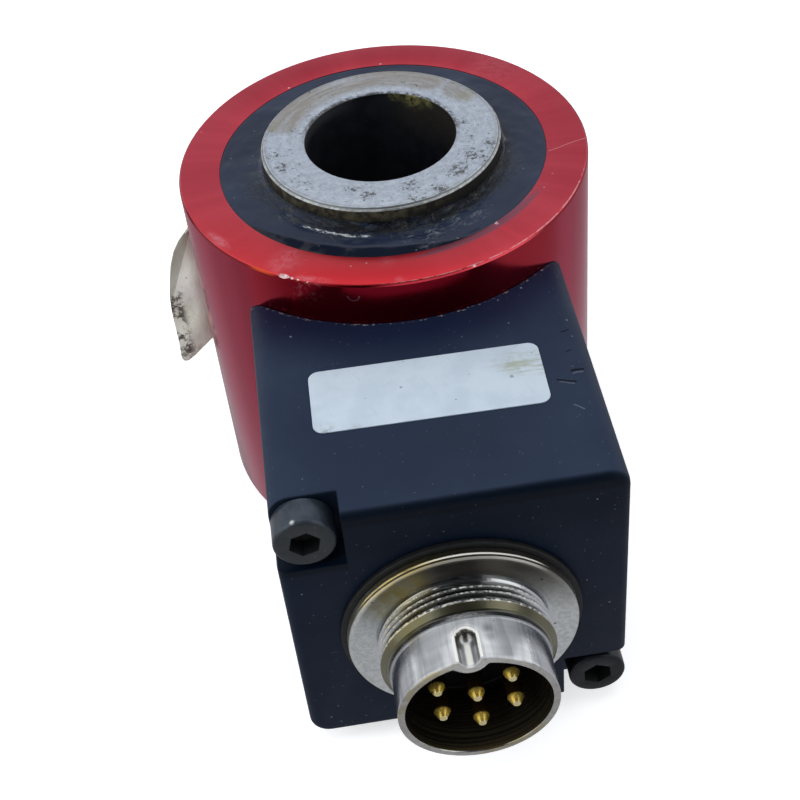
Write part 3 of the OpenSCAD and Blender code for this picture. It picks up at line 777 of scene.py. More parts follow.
def potted_black():
    shader, place = new_finish("potted_black")
    radius = from_axis(place)
    arc_wise = around(place, 1.2, 1, 5)
    black = mixed(step(cloud(place, 0.12, 3), 0.36, 0.64), (30, 40, 60), (38, 49, 70))
    # It is painted darkest where it rolls off into the seat towards the plug, and darker along the
    # front, as painted shade
    front_left = dot_product(place, round_axis(-109, 0.6, 0))
    roll = radius + front_left + cloud(place, 0.5, 3) * 0.5
    roll = step(roll, 24.3, 24.6)
    black = mixed(roll * 0.9, black, (6, 12, 26))
    front_shade = towards(place, -95, 7, 15)
    black = mixed(front_shade * 0.4, black, (12, 20, 38))
    # Grey olive dirt and lint along the bead, thickest at the left and the front
    at_front = towards(place, -100, -2, 10)
    bead_zone = step(radius, load_r + 1.9, load_r + 0.5) * at_front
    ragged = step(cloud(arc_wise, 2.2, 5, 0.75, 0.6), 0.44, 0.62)
    dirt = bead_zone * ragged
    black = mixed(dirt * 0.6, black, (76, 78, 70))
    sooty = step(radius, load_r + 1.5, load_r + 0.4) * towards(place, -60, 2, 8)
    sooty *= step(cloud(arc_wise, 1.4, 5, 0.75), 0.34, 0.52)
    black = mixed(sooty * 0.85, black, (9, 10, 12))
    fluff = effect(hairlines, place, 6) * (step(radius, load_r + 3, load_r + 1) * at_front)
    black = mixed(fluff * 0.5, black, (150, 152, 140))
    grit = bead_zone * step(cloud(place, 6, 4, 0.7), 0.6, 0.66)
    black = mixed(grit * 0.7, black, (12, 13, 14))
    # Pale scuffs where something scraped along it at the front
    scuff = near_any(place, [
        (3.5, -13.9, 1.8, 0.9), (5.9, -13.1, 1.8, 0.9), (1.2, -14.2, 1.6, 0.8),
        (7.9, -12.4, 1.6, 0.6), (2.6, -15.3, 1.6, 0.6), (-10.5, -8.3, 1.2, 0.5),
    ], ring_top)
    scuff *= step(cloud(arc_wise, 3, 5, 0.8, 0.5), 0.5, 0.64)
    black = mixed(scuff * 0.7, black, (140, 146, 152))
    # White flakes in a row on the crest, at the left of the front
    crest = abs(radius - 13.5)
    flake = step(crest, 0.24, 0.1) * towards(place, -117, 12.85, 13.2)
    flake *= step(cloud(arc_wise, 3.4, 4, 0.7), 0.5, 0.56)
    black = mixed(flake * 0.85, black, (206, 212, 216))
    dust = effect(specks, place, 2.2, 0.03)
    black = mixed(dust * 0.3, black, (140, 150, 160))
    shader["Base Color"] = black
    rough = scaled(step(cloud(place, 0.3, 3), 0.4, 0.6), 0.06, 0.16)
    pale = highest(dirt, scuff, flake)
    shader["Roughness"] = rough + pale * 0.5
    shader["Specular IOR Level"] = 0.3
    relief = cloud(place, 0.5, 2) + (dirt + fluff) * 0.6
    bumped(shader, relief, 0.09)
    return shader.material


seal = turned("top_seal_potted", [
    (load_r + 0.02, seal_z), (seat_r - 0.02, seal_z), (seat_r - 0.02, ring_top - 0.06),
    *[(seat_r - 0.08 - 0.24 * i, ring_top - 0.04) for i in range(15)],
    *arc(load_r + 0.02 + bead, ring_top - 0.02 + bead, bead, 270, 180, 7),
], steps=240)
# Towards the plug it shrank and rolls off into the seat, most at the left of the front
rolled_way = Vector(round_axis(-109, 1, 0)).xy
rolled_lean = 0.6
rolled_from = 24.1
for vertex in seal.data.vertices:
    flat = vertex.co.xy / mm
    over = flat.length + rolled_lean * flat.dot(rolled_way) - rolled_from
    if vertex.co.z > (ring_top - 0.2) * mm and over > 0:
        vertex.co.z -= 0.26 * over * (1 + 0.15 * math.sin(flat.x * 1.7)) * mm
wave = bpy.data.textures.new("creep", "CLOUDS")
wave.noise_scale = 2.6 * mm
creep = seal.modifiers.new("creep", "DISPLACE")
creep.texture = wave
creep.texture_coords = "LOCAL"
creep.direction = "Z"
creep.strength = 0.3 * mm
creep.mid_level = 0.62
top_of_seal = seal.vertex_groups.new(name="top")
top_of_seal.add([v.index for v in seal.data.vertices if v.co.z > (ring_top - 0.7) * mm
                 and v.co.xy.length < (seat_r - 0.5) * mm], 1, "REPLACE")
creep.vertex_group = "top"
apply_modifiers(seal)
seal.data.materials.append(potted_black())
smoothed(seal, 50)
finish_piece(seal, "black_seal", "top_seal")


def plain_finish(name, dark, pale, mottle=(1.2, 4, 0.35, 0.65), gloss=(2, 3, 0.2, 0.5),
                 grain=(7, 3, 0.02), metallic=0, marks=None):
    """A finish of one coat, which is black rubber's where nothing else is given. Mottle, gloss
    and grain start with a cloud's scale and detail. Marks lays more on the colour."""
    shader, place = new_finish(name)
    colour = mixed(step(cloud(place, *mottle[:2]), *mottle[2:]), dark, pale)
    shader["Base Color"] = marks(place, colour) if marks else colour
    shader["Metallic"] = metallic
    shader["Roughness"] = scaled(cloud(place, *gloss[:2]), *gloss[2:])
    bumped(shader, cloud(place, *grain[:2]), grain[2])
    return shader.material


def dressed(node, material):
    """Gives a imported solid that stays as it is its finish."""
    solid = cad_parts[node]
    if not solid.material_slots:
        solid.data.materials.append(material)
    for holder in solid.material_slots:
        holder.material = material


rubber = plain_finish("black_rubber", (20, 20, 21), (34, 34, 35))
dressed("base_seal", rubber)
dressed("wire_grommet", rubber)

# Strain gauges and loom
# Four foil gauges cemented round the thinned stretch, and the ring of green bridge wires
# that joins them and leads out to the circuit board. They are sealed inside the ring.


def gauge_film():
    """Amber carrier film with the fine foil grid under it."""
    shader, place = new_finish("gauge_film")
    z = split(place)[2]
    grid = step(maths("SINE", z * 22), -0.2, 0.2)
    middle_band = step(abs(z - 18.6), 2.2, 2.0)
    amber = mixed(step(cloud(place, 0.6, 3), 0.4, 0.6), (196, 122, 52), (214, 146, 74))
    foil = grid * middle_band
    shader["Base Color"] = mixed(foil * 0.6, amber, (120, 92, 66))
    shader["Roughness"] = scaled(cloud(place, 2, 2), 0.15, 0.25)
    bumped(shader, foil, 0.01)
    return shader.material


def wire_skin(name, dark, pale):
    return plain_finish(name, dark, pale, (0.9, 3, 0.4, 0.6), (3, 2, 0.15, 0.28), (3, 2, 0.02))


film = gauge_film()
for side in ("right", "rear", "left", "front"):
    dressed(f"gauge_{side}", film)
dressed("gauge_loom", wire_skin("green_wire", (26, 102, 62), (38, 122, 76)))

# Connector block
# The aluminium housing of the bridge circuit: milled, with a hollow back that fits the ring,
# two corner pockets for the cap screws and a stepped room inside. Matt blue black anodised,
# gashed at its right edge and a little dusty.
block_half = 15.5
rear_room_half = 11.7
front_room_half = 10.6
room_corner_r = 4.5
boss_d = 4.4
boss_out = 8.9
front_y = -44.3
board_y = -29
room_front = -39.3
head_h = 3
pocket_side = 6.1
screw_hole_d = 3.4
plug_hole_d = 14.2
plug_z = 17.7
long_edge_r = 2
front_edge_r = 0.9


def anodised_black():
    shader, place = new_finish("anodised_black")
    x, y, z = split(place)
    top = block_z + block_half
    black = mixed(step(cloud(place, 0.07, 3), 0.35, 0.65), (33, 44, 63), (40, 52, 72))
    # Beside the ring the top is painted darker, as painted shade in the corner
    beside_ring = step(from_axis(place), 29, 21.5)
    black = mixed(beside_ring * 0.75, black, (12, 20, 46))
    # Handling has dulled and darkened the top between the label and the plug
    handled = step(distance_to(place, (3, -35, top)), 11, 3)
    black = mixed(handled * 0.2, black, (26, 32, 44))
    # The front face is painted darker than the top, and darker still high up, as painted shade
    front = step(y, front_y + 0.8, front_y + 0.2)
    black = mixed(front * 0.78, black, (2, 15, 34))
    upper_front_shade = front * step(z, 24, 31)
    black = mixed(upper_front_shade * 0.6, black, (0, 9, 21))
    # Thin black gashes near the right edge, each with a pale fringe, and one pale scratch
    gashes = highest(thin_line(place, (13.2, -25.81), (14.0, -25.56), 0.07),
                     thin_line(place, (13.0, -31.14), (14.23, -30.94), 0.13),
                     thin_line(place, (11.5, -31.95), (13.2, -32.6), 0.1),
                     thin_line(place, (13.1, -28.5), (13.6, -28.35), 0.06))
    fringe = highest(thin_line(place, (13.09, -31.5), (14.1, -31.3), 0.12),
                     thin_line(place, (11.7, -32.3), (13.0, -32.8), 0.07))
    scratch = thin_line(place, (12.37, -35.33), (13.17, -36.14), 0.1)
    pale = highest(fringe * 0.22, scratch * 0.22)
    pale *= maths("GREATER_THAN", z, top - 0.3)
    black = mixed(pale, black, (150, 158, 166))
    gashes *= maths("GREATER_THAN", z, top - 0.3)
    black = mixed(gashes, black, (3, 4, 6))
    # Faint painted highlights on the arrises, and a few fine grains of dust, thicker in the ring's
    # corner
    arris_highlight = step(abs(x), block_half - 0.7, block_half - 0.2) * step(z, top - 1.4, top - 0.3)
    arris_highlight *= step(cloud(place, 1.1, 4, 0.7), 0.52, 0.68)
    black = mixed(arris_highlight * 0.3, black, (92, 102, 116))
    share = scaled(beside_ring, 0.04, 0.014)
    dust = highest(effect(specks, place, 2.4, share), effect(specks, place, 4.2, 0.05) * 0.4)
    black = mixed(dust * 0.42, black, (150, 160, 172))
    # The upper screw's pocket and the face just below it are painted near black as painted shade,
    # and a painted dark reflection runs along the top of the front
    upper_pocket_shade = step(x, -9.2, -9.6) * step(z, top - pocket_side - 0.9, top - pocket_side - 0.4)
    upper_pocket_shade *= step(y, front_y + head_h + 0.3, front_y + head_h)
    front_edge = front * step(z, top - 1.9, top - 1.3)
    black = mixed(highest(upper_pocket_shade, front_edge) * 0.8, black, (0, 8, 20))
    # A painted highlight runs down the block's left side
    left_side_highlight = step(x, -block_half + 0.16, -block_half + 0.04) * step(z, top, top - 2.2)
    black = mixed(left_side_highlight * 0.3, black, (104, 118, 130))
    lint = step(abs(distance_to(place, (0, 0, top)) - 21.25), 0.14, 0.05)
    lint *= step(cloud(place, 2.4, 4, 0.75), 0.56, 0.6)
    black = mixed(lint * 0.5, black, (170, 160, 152))
    shader["Base Color"] = black
    shader["Specular IOR Level"] = 0.14
    rough = scaled(cloud(place, 0.3, 3), 0.16, 0.42)
    shader["Roughness"] = rough + gashes * 0.2
    relief = cloud(place, 9, 2) + cloud(place, 1.2, 2) * 0.6
    bumped(shader, relief - gashes * 4, 0.012)
    return shader.material


def bar(name, low, high, edge_r=0, axis=1):
    """A rectangular bar between two corners, with the edges along one axis rounded."""
    deselect()
    size = [(b - a) * mm for a, b in zip(low, high)]
    centre = [(a + b) / 2 * mm for a, b in zip(low, high)]
    bpy.ops.mesh.primitive_cube_add(size=1, location=centre, scale=size)
    piece = bpy.context.object
    piece.name = name
    bpy.ops.object.transform_apply(location=True, rotation=True, scale=True)
    if edge_r:
        round_edges(piece, lambda a, b: abs((b - a).normalized()[axis]) > 0.99, edge_r, 7)
    return piece


def round_edges(piece, chosen, radius, segments):
    """Rounds the edges whose two ends the test picks."""
    take_up(piece)
    bpy.ops.object.mode_set(mode="EDIT")
    bpy.ops.mesh.select_mode(type="EDGE")
    bpy.ops.mesh.select_all(action="DESELECT")
    bpy.ops.object.mode_set(mode="OBJECT")
    points = piece.data.vertices
    for edge in piece.data.edges:
        edge.select = chosen(points[edge.vertices[0]].co, points[edge.vertices[1]].co)
    bpy.ops.object.mode_set(mode="EDIT")
    bpy.ops.mesh.bevel(offset=radius * mm, segments=segments, affect="EDGES")
    bpy.ops.mesh.select_mode(type="VERT")
    bpy.ops.object.mode_set(mode="OBJECT")


block = bar("connector_block_milled", (-block_half, front_y, block_z - block_half),
            (block_half, 0, block_z + block_half), long_edge_r)
round_edges(block, lambda a, b: max(a.y, b.y) < (front_y + 0.01) * mm, front_edge_r, 5)
block.data.materials.append(anodised_black())
saddle = drill(2 * (ring_r + 0.05), 60, (0, 0, block_z), sides=240)
rear_room = bar("rear_room", (-rear_room_half, board_y, block_z - rear_room_half),
                (rear_room_half, 5, block_z + rear_room_half), room_corner_r)
front_room = bar("front_room", (-front_room_half, room_front, block_z - front_room_half),
                 (front_room_half, board_y + 1, block_z + front_room_half), room_corner_r)
# Two bosses stay in the room for the board's screws
cut(front_room, [drill(boss_d, 14, (s * boss_out, -35, block_z + s * boss_out), to_front, 32)
                 for s in (-1, 1)])
pockets = [bar("pocket",
               (s * block_half - (s + 1) / 2 * pocket_side, front_y - 1,
                block_z - s * block_half + (s - 1) / 2 * pocket_side),
               (s * block_half - (s - 1) / 2 * pocket_side, front_y + head_h,
                block_z - s * block_half + (s + 1) / 2 * pocket_side)) for s in (-1, 1)]
cut(block, [saddle, rear_room, front_room, *pockets,
            drill(plug_hole_d, 8, (0, -42, plug_z), to_front, 96),
            drill(screw_hole_d, 40, (-screw_out, -25, block_z + screw_out), to_front, 48),
            drill(screw_hole_d, 40, (screw_out, -25, block_z - screw_out), to_front, 48)])
softened(block, 0.14, 3)
finish_piece(block, "black_anodised", "connector_block")

# Cap screws
# Two socket head screws hold the block to the ring: black oxide steel, slightly oily, with
# a plain head and a hexagon socket whose corners are worn.
screw_end = 13.3
screw_seat = 41.3


def black_oxide():
    shader, place = new_finish("black_oxide")
    z = split(place)[2]
    outward = dot_product(place, (0, -1, 0))
    black = mixed(step(cloud(place, 0.7, 3), 0.38, 0.62), (58, 66, 76), (70, 79, 90))
    # The faces are duller and browner than the sides. The sockets are painted near black as painted
    # shade
    on_end = step(outward, 44.1, 44.25)
    black = mixed(on_end * 0.85, black, (54, 57, 58))
    wear = step(cloud(place, 2.0, 4, 0.7), 0.58, 0.7) * 0.25
    black = mixed(wear, black, (104, 112, 118))
    # The lower right head is in the block's shade and greasier
    low = step(z, 14, 11)
    black = mixed(low * 0.75, black, (20, 23, 27))
    # A small painted highlight glints on the upper head's rim
    bright = near_any(place, [(-13.43, -43.9, 0.32, 0.9)], 33.72)
    black = mixed(bright, black, (232, 236, 238))
    shader["Base Color"] = black
    shader["Metallic"] = 0.6
    rough = scaled(cloud(place, 1.2, 3), 0.12, 0.26)
    shader["Roughness"] = rough + on_end * 0.12
    bumped(shader, cloud(place, 5, 3), 0.012)
    return shader.material


def twin_of(piece, name):
    """A copy with its own mesh."""
    twin = piece.copy()
    twin.data = piece.data.copy()
    twin.name = name
    bpy.context.scene.collection.objects.link(twin)
    return twin


def forward(piece, x, z, turn=0):
    """Points a piece made along Z out of the block's front, so its height runs to -Y."""
    placed(piece, (0, 0, 0), (0, 0, turn))
    return placed(piece, (x, 0, z), to_front)


def hexagon(across_flats, length, height):
    """A six-sided bar along Z, with its middle at a height."""
    return drill(across_flats / math.cos(math.radians(30)), length, (0, 0, height), sides=6)


oxide = black_oxide()
cap_screw = turned("cap_screw_1", [
    (0, screw_end), (1.15, screw_end), (1.5, screw_end + 0.35), (1.5, screw_seat),
    (2.62, screw_seat), (2.75, screw_seat + 0.15), (2.75, 43.85), *arc(2.4, 43.95, 0.35, 0, 90, 4),
    (0, 44.3),
], steps=60, closed=False)
socket = hexagon(2.5, 3.2, 44.3)
cap_screw.data.materials.append(oxide)
# The socket is painted near black, as painted shade in its recess
socket.data.materials.append(plain_finish("socket_shade", (4, 5, 7), (9, 10, 13)))
cut(cap_screw, [socket])
softened(cap_screw, 0.07)
other_screw = twin_of(cap_screw, "cap_screw_2")
forward(cap_screw, -screw_out, block_z + screw_out, 47)
forward(other_screw, screw_out, block_z - screw_out, 4)
finish_piece(cap_screw, "black_oxide", "cap_screws")
finish_piece(other_screw, "black_oxide", "cap_screws")

# Connector gasket
# A flat rubber washer between the connector's flange and the block.
gasket = turned("connector_gasket_washer", [
    (7.1, 44.3), (11.0, 44.3), (11.1, 44.42), (11.1, 44.78), (11.0, 44.9), (7.1, 44.9),
], steps=160)
gasket.data.materials.append(plain_finish("gasket_black", (9, 10, 12), (17, 18, 20)))
softened(gasket, 0.04)
forward(gasket, 0, plug_z)
finish_piece(gasket, "black_rubber", "connector_gasket")

# Connector shell
# The round plug's shell, turned in brass and nickel plated: a sleeve through the block, a
# flange, a coupling thread that runs out at a collar, and a thin nose with a pressed key
# groove. The plating has worn to yellow along the flange's rim, the thread and the lip.
plug_clock = 4
nose_r = 7.15
nose_bore_r = 6.5
rim = 54.2
key_centre = 7.1
key_r = 0.92
key_end = 51.7
nose_start = 49.9
groove_half = 2.6
groove_blend = 0.35
thread_pitch = 0.62
thread_turns = 3
thread_start = 46.42
thread_foot_r = 7.48
thread_turn = 72
fade_in = 0.06
fade_out = 0.09


def nickel(name):
    shader, place = new_finish(name)
    # Coordinates about the plug's own axis, with its height towards the plug's rim
    x, y, z = split(place)
    own = joined(x, z - plug_z, y * -1)
    radius = from_axis(own)
    reach = split(own)[2]
    spun = around(own, 1, 1, 1)
    bright = mixed(step(cloud(spun, 0.5, 3), 0.38, 0.62), (206, 209, 211), (226, 229, 232))
    # The flange's face is brownish grey at the top, where it sits in the block's shade
    on_flange = step(radius, 8.0, 8.3) * step(reach, 46.3, 46.15)
    upper = towards(own, 76, 2.5, 9.2)
    satin = mixed(step(cloud(own, 2.2, 5, 0.7), 0.35, 0.65), (208, 213, 210), (234, 237, 235))
    satin = mixed(upper, satin, (124, 120, 112))
    bright = mixed(on_flange, bright, satin)
    # Worn plating: pale brass shows in the flange's corner, on its rim and along the lip
    worn = near_any(own, [
        (-5.9, 6.9, 46.2, 3.0, 1), (-4.0, 8.1, 46.4, 2.6, 0.9), (-7.2, 5.4, 46.4, 2.4, 0.8),
        (-5.2, 5.6, 49, 2.2, 1), (-4.2, 6.4, 48.6, 1.8, 0.8), (-6.5, 4.1, 49, 1.6, 0.6),
    ])
    on_rim = step(radius, 10.4, 10.5) * towards(own, 132, 6, 9.6)
    on_lip = step(reach, rim - 0.2, rim - 0.08) * towards(own, 140, 4.8, 6.4)
    low_lip = step(reach, rim - 0.4, rim - 0.2) * towards(own, -62, 5.4, 6.4)
    worn = highest(worn, on_rim * 0.6, on_lip, low_lip)
    worn *= step(cloud(own, 0.7, 3, 0.6), 0.2, 0.6)
    brass = mixed(worn * 0.85, bright, (172, 158, 88))
    # Darker in the roots of the thread and under the collar
    deep = step(radius, 7.86, 7.62)
    roots = deep * between(reach, 46.1, 46.3, 48.3, 48.5)
    neck = between(reach, 49.2, 49.3, 49.75, 49.85)
    roots_and_neck = highest(roots, neck * 0.7)
    brass = mixed(roots_and_neck * 0.75, brass, (58, 57, 52))
    pocks = effect(specks, own, 1.8, 0.02)
    brass = mixed(pocks * 0.7, brass, (44, 40, 34))
    on_nose = step(reach, 49.7, 49.9)
    # Soft streaks of painted reflection run along the nose, and the collar before it is olive grey
    reflection_streaks = step(cloud(stretched(own, 1.4, 1.4, 0.12), 1, 3, 0.6), 0.42, 0.6)
    reflection_streaks *= on_nose
    brass = mixed(reflection_streaks * 0.4, brass, (140, 145, 150))
    collar = between(reach, 48.55, 48.65, 49.2, 49.3)
    brass = mixed(collar * 0.9, brass, (116, 112, 80))
    blotch = near_any(own, [(1.5, 6.98, 51.0, 0.8, 0.8), (1.6, 6.98, 51.9, 0.8, 0.6)])
    brass = mixed(blotch * 0.7, brass, (52, 58, 74))
    lip = step(reach, rim - 0.08, rim - 0.02)
    brass = mixed(lip * 0.5, brass, (176, 168, 150))
    # Painted highlights on the edges that catch the light: the flange's rim, the crests of the
    # thread, the collar's edge
    flange_rim_highlight = between(radius, 10.37, 10.4, 10.53, 10.545)
    flange_rim_highlight *= step(reach, 45.8, 45.9)
    flange_side_highlight = between(reach, 45.48, 45.54, 45.68, 45.74)
    flange_side_highlight *= step(radius, 10.4, 10.5)
    flange_rim_highlight = highest(flange_rim_highlight * 0.4, flange_side_highlight)
    flange_rim_highlight *= towards(own, 97, 5.6, 7.4)
    flange_rim_highlight *= step(cloud(spun, 1.3, 4, 0.7), 0.28, 0.46)
    crest_highlight = step(radius, 7.87, 7.93) * between(reach, 46.2, 46.3, 48.62, 48.7)
    crest_highlight *= towards(own, 95, 1.5, 5)
    beads = step(cloud(own, 2.6, 4, 0.7), 0.44, 0.6)
    crest_highlight *= scaled(beads, 0.8, 0.1)
    # The pressed groove has painted highlights along its edge and floor, and its walls are painted
    # dark as painted shade
    groove_zone = on_nose * step(reach, rim - 0.2, rim - 0.4)
    in_groove = groove_zone * step(radius, nose_r - 0.03, nose_r - 0.35)
    wall = between(radius, nose_r - 0.62, nose_r - 0.5, nose_r - 0.2, nose_r - 0.14)
    wall *= groove_zone
    brass = mixed(wall * 0.7, brass, (74, 72, 62))
    groove_edge_highlight = between(radius, nose_r - 0.14, nose_r - 0.1, nose_r - 0.03, nose_r - 0.012)
    groove_floor_highlight = (step(radius, key_centre - key_r + 0.07, key_centre - key_r + 0.03)
            * step(reach, key_end - 0.2, key_end + 0.3))
    shine = groove_zone * highest(groove_edge_highlight, groove_floor_highlight)
    golden = towards(own, 146, 6, 9.4)
    glint = mixed(golden, (250, 248, 240), (236, 214, 140))
    glints = highest(flange_rim_highlight, crest_highlight, shine * 0.8)
    brass = mixed(glints, brass, glint)
    metal = scaled(glints, -0.75, 1)
    lit = on_nose * towards(own, 92, 3.5, 7)
    lit *= 1 - in_groove
    metal *= scaled(lit, -0.55, 1)
    shader["Metallic"] = metal
    blind_end = in_groove * step(reach, 51.7, 51.2)
    brass = mixed(blind_end * 0.5, brass, (120, 112, 86))
    shader["Base Color"] = brass
    rough = scaled(cloud(spun, 1.6, 4), 0.1, 0.12)
    rough += on_flange * 0.22
    rough += in_groove * 0.1
    rough += on_nose * 0.02
    rough += collar * 0.15
    shader["Roughness"] = rough
    rings = effect(lathe_marks, own, 12)
    crest = cloud(own, 3.2, 3, 0.6) * (1 - on_nose)
    relief = rings * 0.2 + crest * 0.7
    relief += cloud(own, 0.5, 2) * 1.5
    bumped(shader, relief - pocks, 0.014)
    return shader.material


# The shell's bore is painted dark brown in rings, as painted shade inside the nose
def shaded_bore():
    shader, place = new_finish("shaded_bore")
    x, y, z = split(place)
    own = joined(x, z - plug_z, y * -1)
    rings = around(own, 0.3, 3.4, 0.2)
    dark = mixed(step(cloud(rings, 1, 4, 0.6), 0.36, 0.62), (46, 44, 39), (86, 78, 60))
    shader["Base Color"] = dark
    shader["Metallic"] = 0.8
    shader["Roughness"] = scaled(cloud(rings, 1, 3), 0.16, 0.2)
    bumped(shader, cloud(rings, 1.5, 3), 0.012)
    return shader.material


def joined_to(piece, others):
    """Makes the other pieces part of one piece, as solder or a mould does."""
    take_up(piece)
    for other in others:
        other.select_set(True)
    bpy.ops.object.join()


def to_radius(vertex, wanted):
    """Moves a point straight out or in, to a distance from the Z axis in millimetres."""
    change = wanted / (vertex.co.xy.length / mm)
    vertex.co.x *= change
    vertex.co.y *= change


def softly_least(first, second, blend):
    """The lesser of two lengths, rounded where they cross."""
    share = max(blend - abs(first - second), 0) / blend
    return min(first, second) - share * share * blend / 4


nose_loops = [50 + 0.12 * i for i in range(33)]
shell = turned("connector_shell_turned", [
    (nose_bore_r, 36.3), (7, 36.3), (7, 44.9), (10.45, 44.9), (10.55, 45.0), (10.55, 45.86),
    *arc(10.31, 45.86, 0.24, 0, 90, 5), (10.14, 46.1), (10.0, 46.02), (8.3, 45.98), (7.75, 46.02),
    (7.55, 46.2), (7.55, 48.35), (7.98, 48.45), (7.98, 48.6), (7.55, 49.2), (7.34, 49.24),
    (7.32, 49.75), (nose_r, 49.82), *[(nose_r, h) for h in nose_loops],
    *arc(nose_r - 0.14, rim - 0.14, 0.14, 0, 90, 3),
    *arc(nose_bore_r + 0.12, rim - 0.12, 0.12, 90, 180, 3),
    *[(nose_bore_r, h) for h in reversed(nose_loops)],
], steps=288)
plate = nickel("nickel_plate")
shell.data.materials.append(plate)
shell.data.materials.append(shaded_bore())
for face in shell.data.polygons:
    if face.center.xy.length < (nose_bore_r + 0.03) * mm and face.center.z < (rim - 0.13) * mm:
        face.material_index = 1
# The key groove is pressed into the nose by a round tool, which also bulges its bore
wall_t = nose_r - nose_bore_r
for vertex in shell.data.vertices:
    height = vertex.co.z / mm
    beside = abs(vertex.co.x / mm)
    radius = vertex.co.xy.length / mm
    if height < nose_start or vertex.co.y < 0 or beside > groove_half:
        continue
    before = max(key_end - height, 0)
    outside = radius - nose_bore_r > wall_t / 2
    tool_r = key_r if outside else key_r + wall_t
    gone = tool_r ** 2 - beside ** 2 - before ** 2
    if gone > 0:
        pressed = key_centre - math.sqrt(gone)
    else:
        pressed = key_centre + (math.sqrt(beside ** 2 + before ** 2) - tool_r)
    to_radius(vertex, softly_least(radius, pressed, groove_blend))
deselect()
bpy.ops.mesh.primitive_plane_add(size=mm)
thread = bpy.context.object
thread.name = "thread"
bpy.ops.object.mode_set(mode="EDIT")
bpy.ops.mesh.delete(type="ONLY_FACE")
bpy.ops.object.mode_set(mode="OBJECT")
section = [(7.5, -0.29), (7.5, 0.29), (7.98, 0.05), (7.98, -0.05)]
order = [thread.data.edges[0].vertices[0]]
while len(order) < 4:
    edge = next(e for e in thread.data.edges if order[-1] in e.vertices
                and not all(v in order for v in e.vertices))
    order.append(next(v for v in edge.vertices if v != order[-1]))
for index, (radius, height) in zip(order, section):
    thread.data.vertices[index].co = (radius * mm, 0, (thread_start + height) * mm)
coil = thread.modifiers.new("coil", "SCREW")
coil.axis = "Z"
coil.angle = math.tau
coil.screw_offset = thread_pitch * mm
coil.iterations = thread_turns
coil.steps = coil.render_steps = 120
coil.use_merge_vertices = False
apply_modifiers(thread)
# The ridge fades in at the flange and runs out at the collar
whole = thread_pitch * thread_turns
for vertex in thread.data.vertices:
    bearing = (math.atan2(vertex.co.y, vertex.co.x) / math.tau) % 1
    turns_up = round((vertex.co.z / mm - thread_start) / thread_pitch - bearing)
    climbed = (bearing + turns_up) * thread_pitch
    fade = max(min(1, climbed / fade_in, (whole - climbed) / fade_out), 0)
    radius = vertex.co.xy.length / mm
    to_radius(vertex, thread_foot_r + (radius - thread_foot_r) * fade)
thread.data.materials.append(plate)
placed(thread, (0, 0, 0), (0, 0, thread_turn))
joined_to(shell, [thread])
faces_out(shell)
smoothed(shell, 34)
forward(shell, 0, plug_z, plug_clock)
finish_piece(shell, "nickel_plate", "connector_shell")

# Connector carrier
# The black moulding inside the shell that holds the six pins, with a low collar round each.
pin_circle = 3.8
pin_bearings = [30, 150, 210, 270, 330]
pin_places = [(0, 0)] + [round_axis(bearing, pin_circle, 0)[:2] for bearing in pin_bearings]


def grey_dust(place, black):
    return mixed(effect(specks, place, 1.8, 0.04) * 0.3, black, (92, 84, 70))


carrier = turned("connector_carrier_moulded", [
    (0, 36.3), (6.4, 36.3), (6.48, 36.4), (6.48, 47.55), (6.33, 47.7), (5.9, 47.7), (5.8, 47.6),
    (0, 47.6),
], steps=96, closed=False)
collars = [turned("pin_collar", [
    (0.77, 47.5), (1.2, 47.5), (1.15, 47.66), (0.9, 47.7), (0.77, 47.64),
], steps=32) for place in pin_places]
moulding = plain_finish("moulded_black", (9, 9, 11), (17, 16, 16), (0.6, 3, 0.35, 0.65),
                        (1.2, 3, 0.2, 0.4), (5, 3, 0.02), marks=grey_dust)
carrier.data.materials.append(moulding)
for collar, (px, py) in zip(collars, pin_places):
    placed(collar, (px, py, 0))
    collar.data.materials.append(moulding)
pin_holes = [drill(1.54, 14, (px, py, 42), sides=32) for px, py in pin_places]
for hole in pin_holes:
    hole.data.materials.append(moulding)
cut(carrier, pin_holes)
joined_to(carrier, collars)
smoothed(carrier)
forward(carrier, 0, plug_z, plug_clock)
finish_piece(carrier, "black_moulding", "connector_carrier")

# Contacts
# Six turned brass pins, gold plated, with a cone tip in front and a solder cup behind.


def shade_and_wear(place, gold):
    """Shanks in the shade of the bore are dull and brown; the flat tips are worn pale."""
    along = dot_product(place, (0, -1, 0))
    gold = mixed(step(along, 52.5, 52.3), gold, (62, 44, 22))
    return mixed(step(along, 53.08, 53.13) * 0.6, gold, (240, 230, 190))


pin = turned("contact_pin", [
    (0, 35.3), (0.45, 35.3), (0.45, 33.7), (0.75, 33.7), (0.75, 52.42), (0.74, 52.48), (0.39, 53.1),
    (0.34, 53.15), (0, 53.15),
], steps=32, closed=False)
gold_plate = plain_finish("gold_plate", (220, 188, 84), (230, 201, 98), (1.4, 3, 0.36, 0.64),
                          (2, 3, 0.06, 0.24), (6, 2, 0.003), 0.75, shade_and_wear)
pin.data.materials.append(gold_plate)
smoothed(pin, 24)
pin_nodes = ["contact_centre"] + [f"contact_{i}" for i in range(1, 6)]
for node, (px, py) in zip(pin_nodes, pin_places):
    contact = twin_of(pin, f"{node}_pin")
    placed(contact, (px, py, 0))
    forward(contact, 0, plug_z, plug_clock)
    finish_piece(contact, "gold_plate", node)
bpy.data.objects.remove(pin)

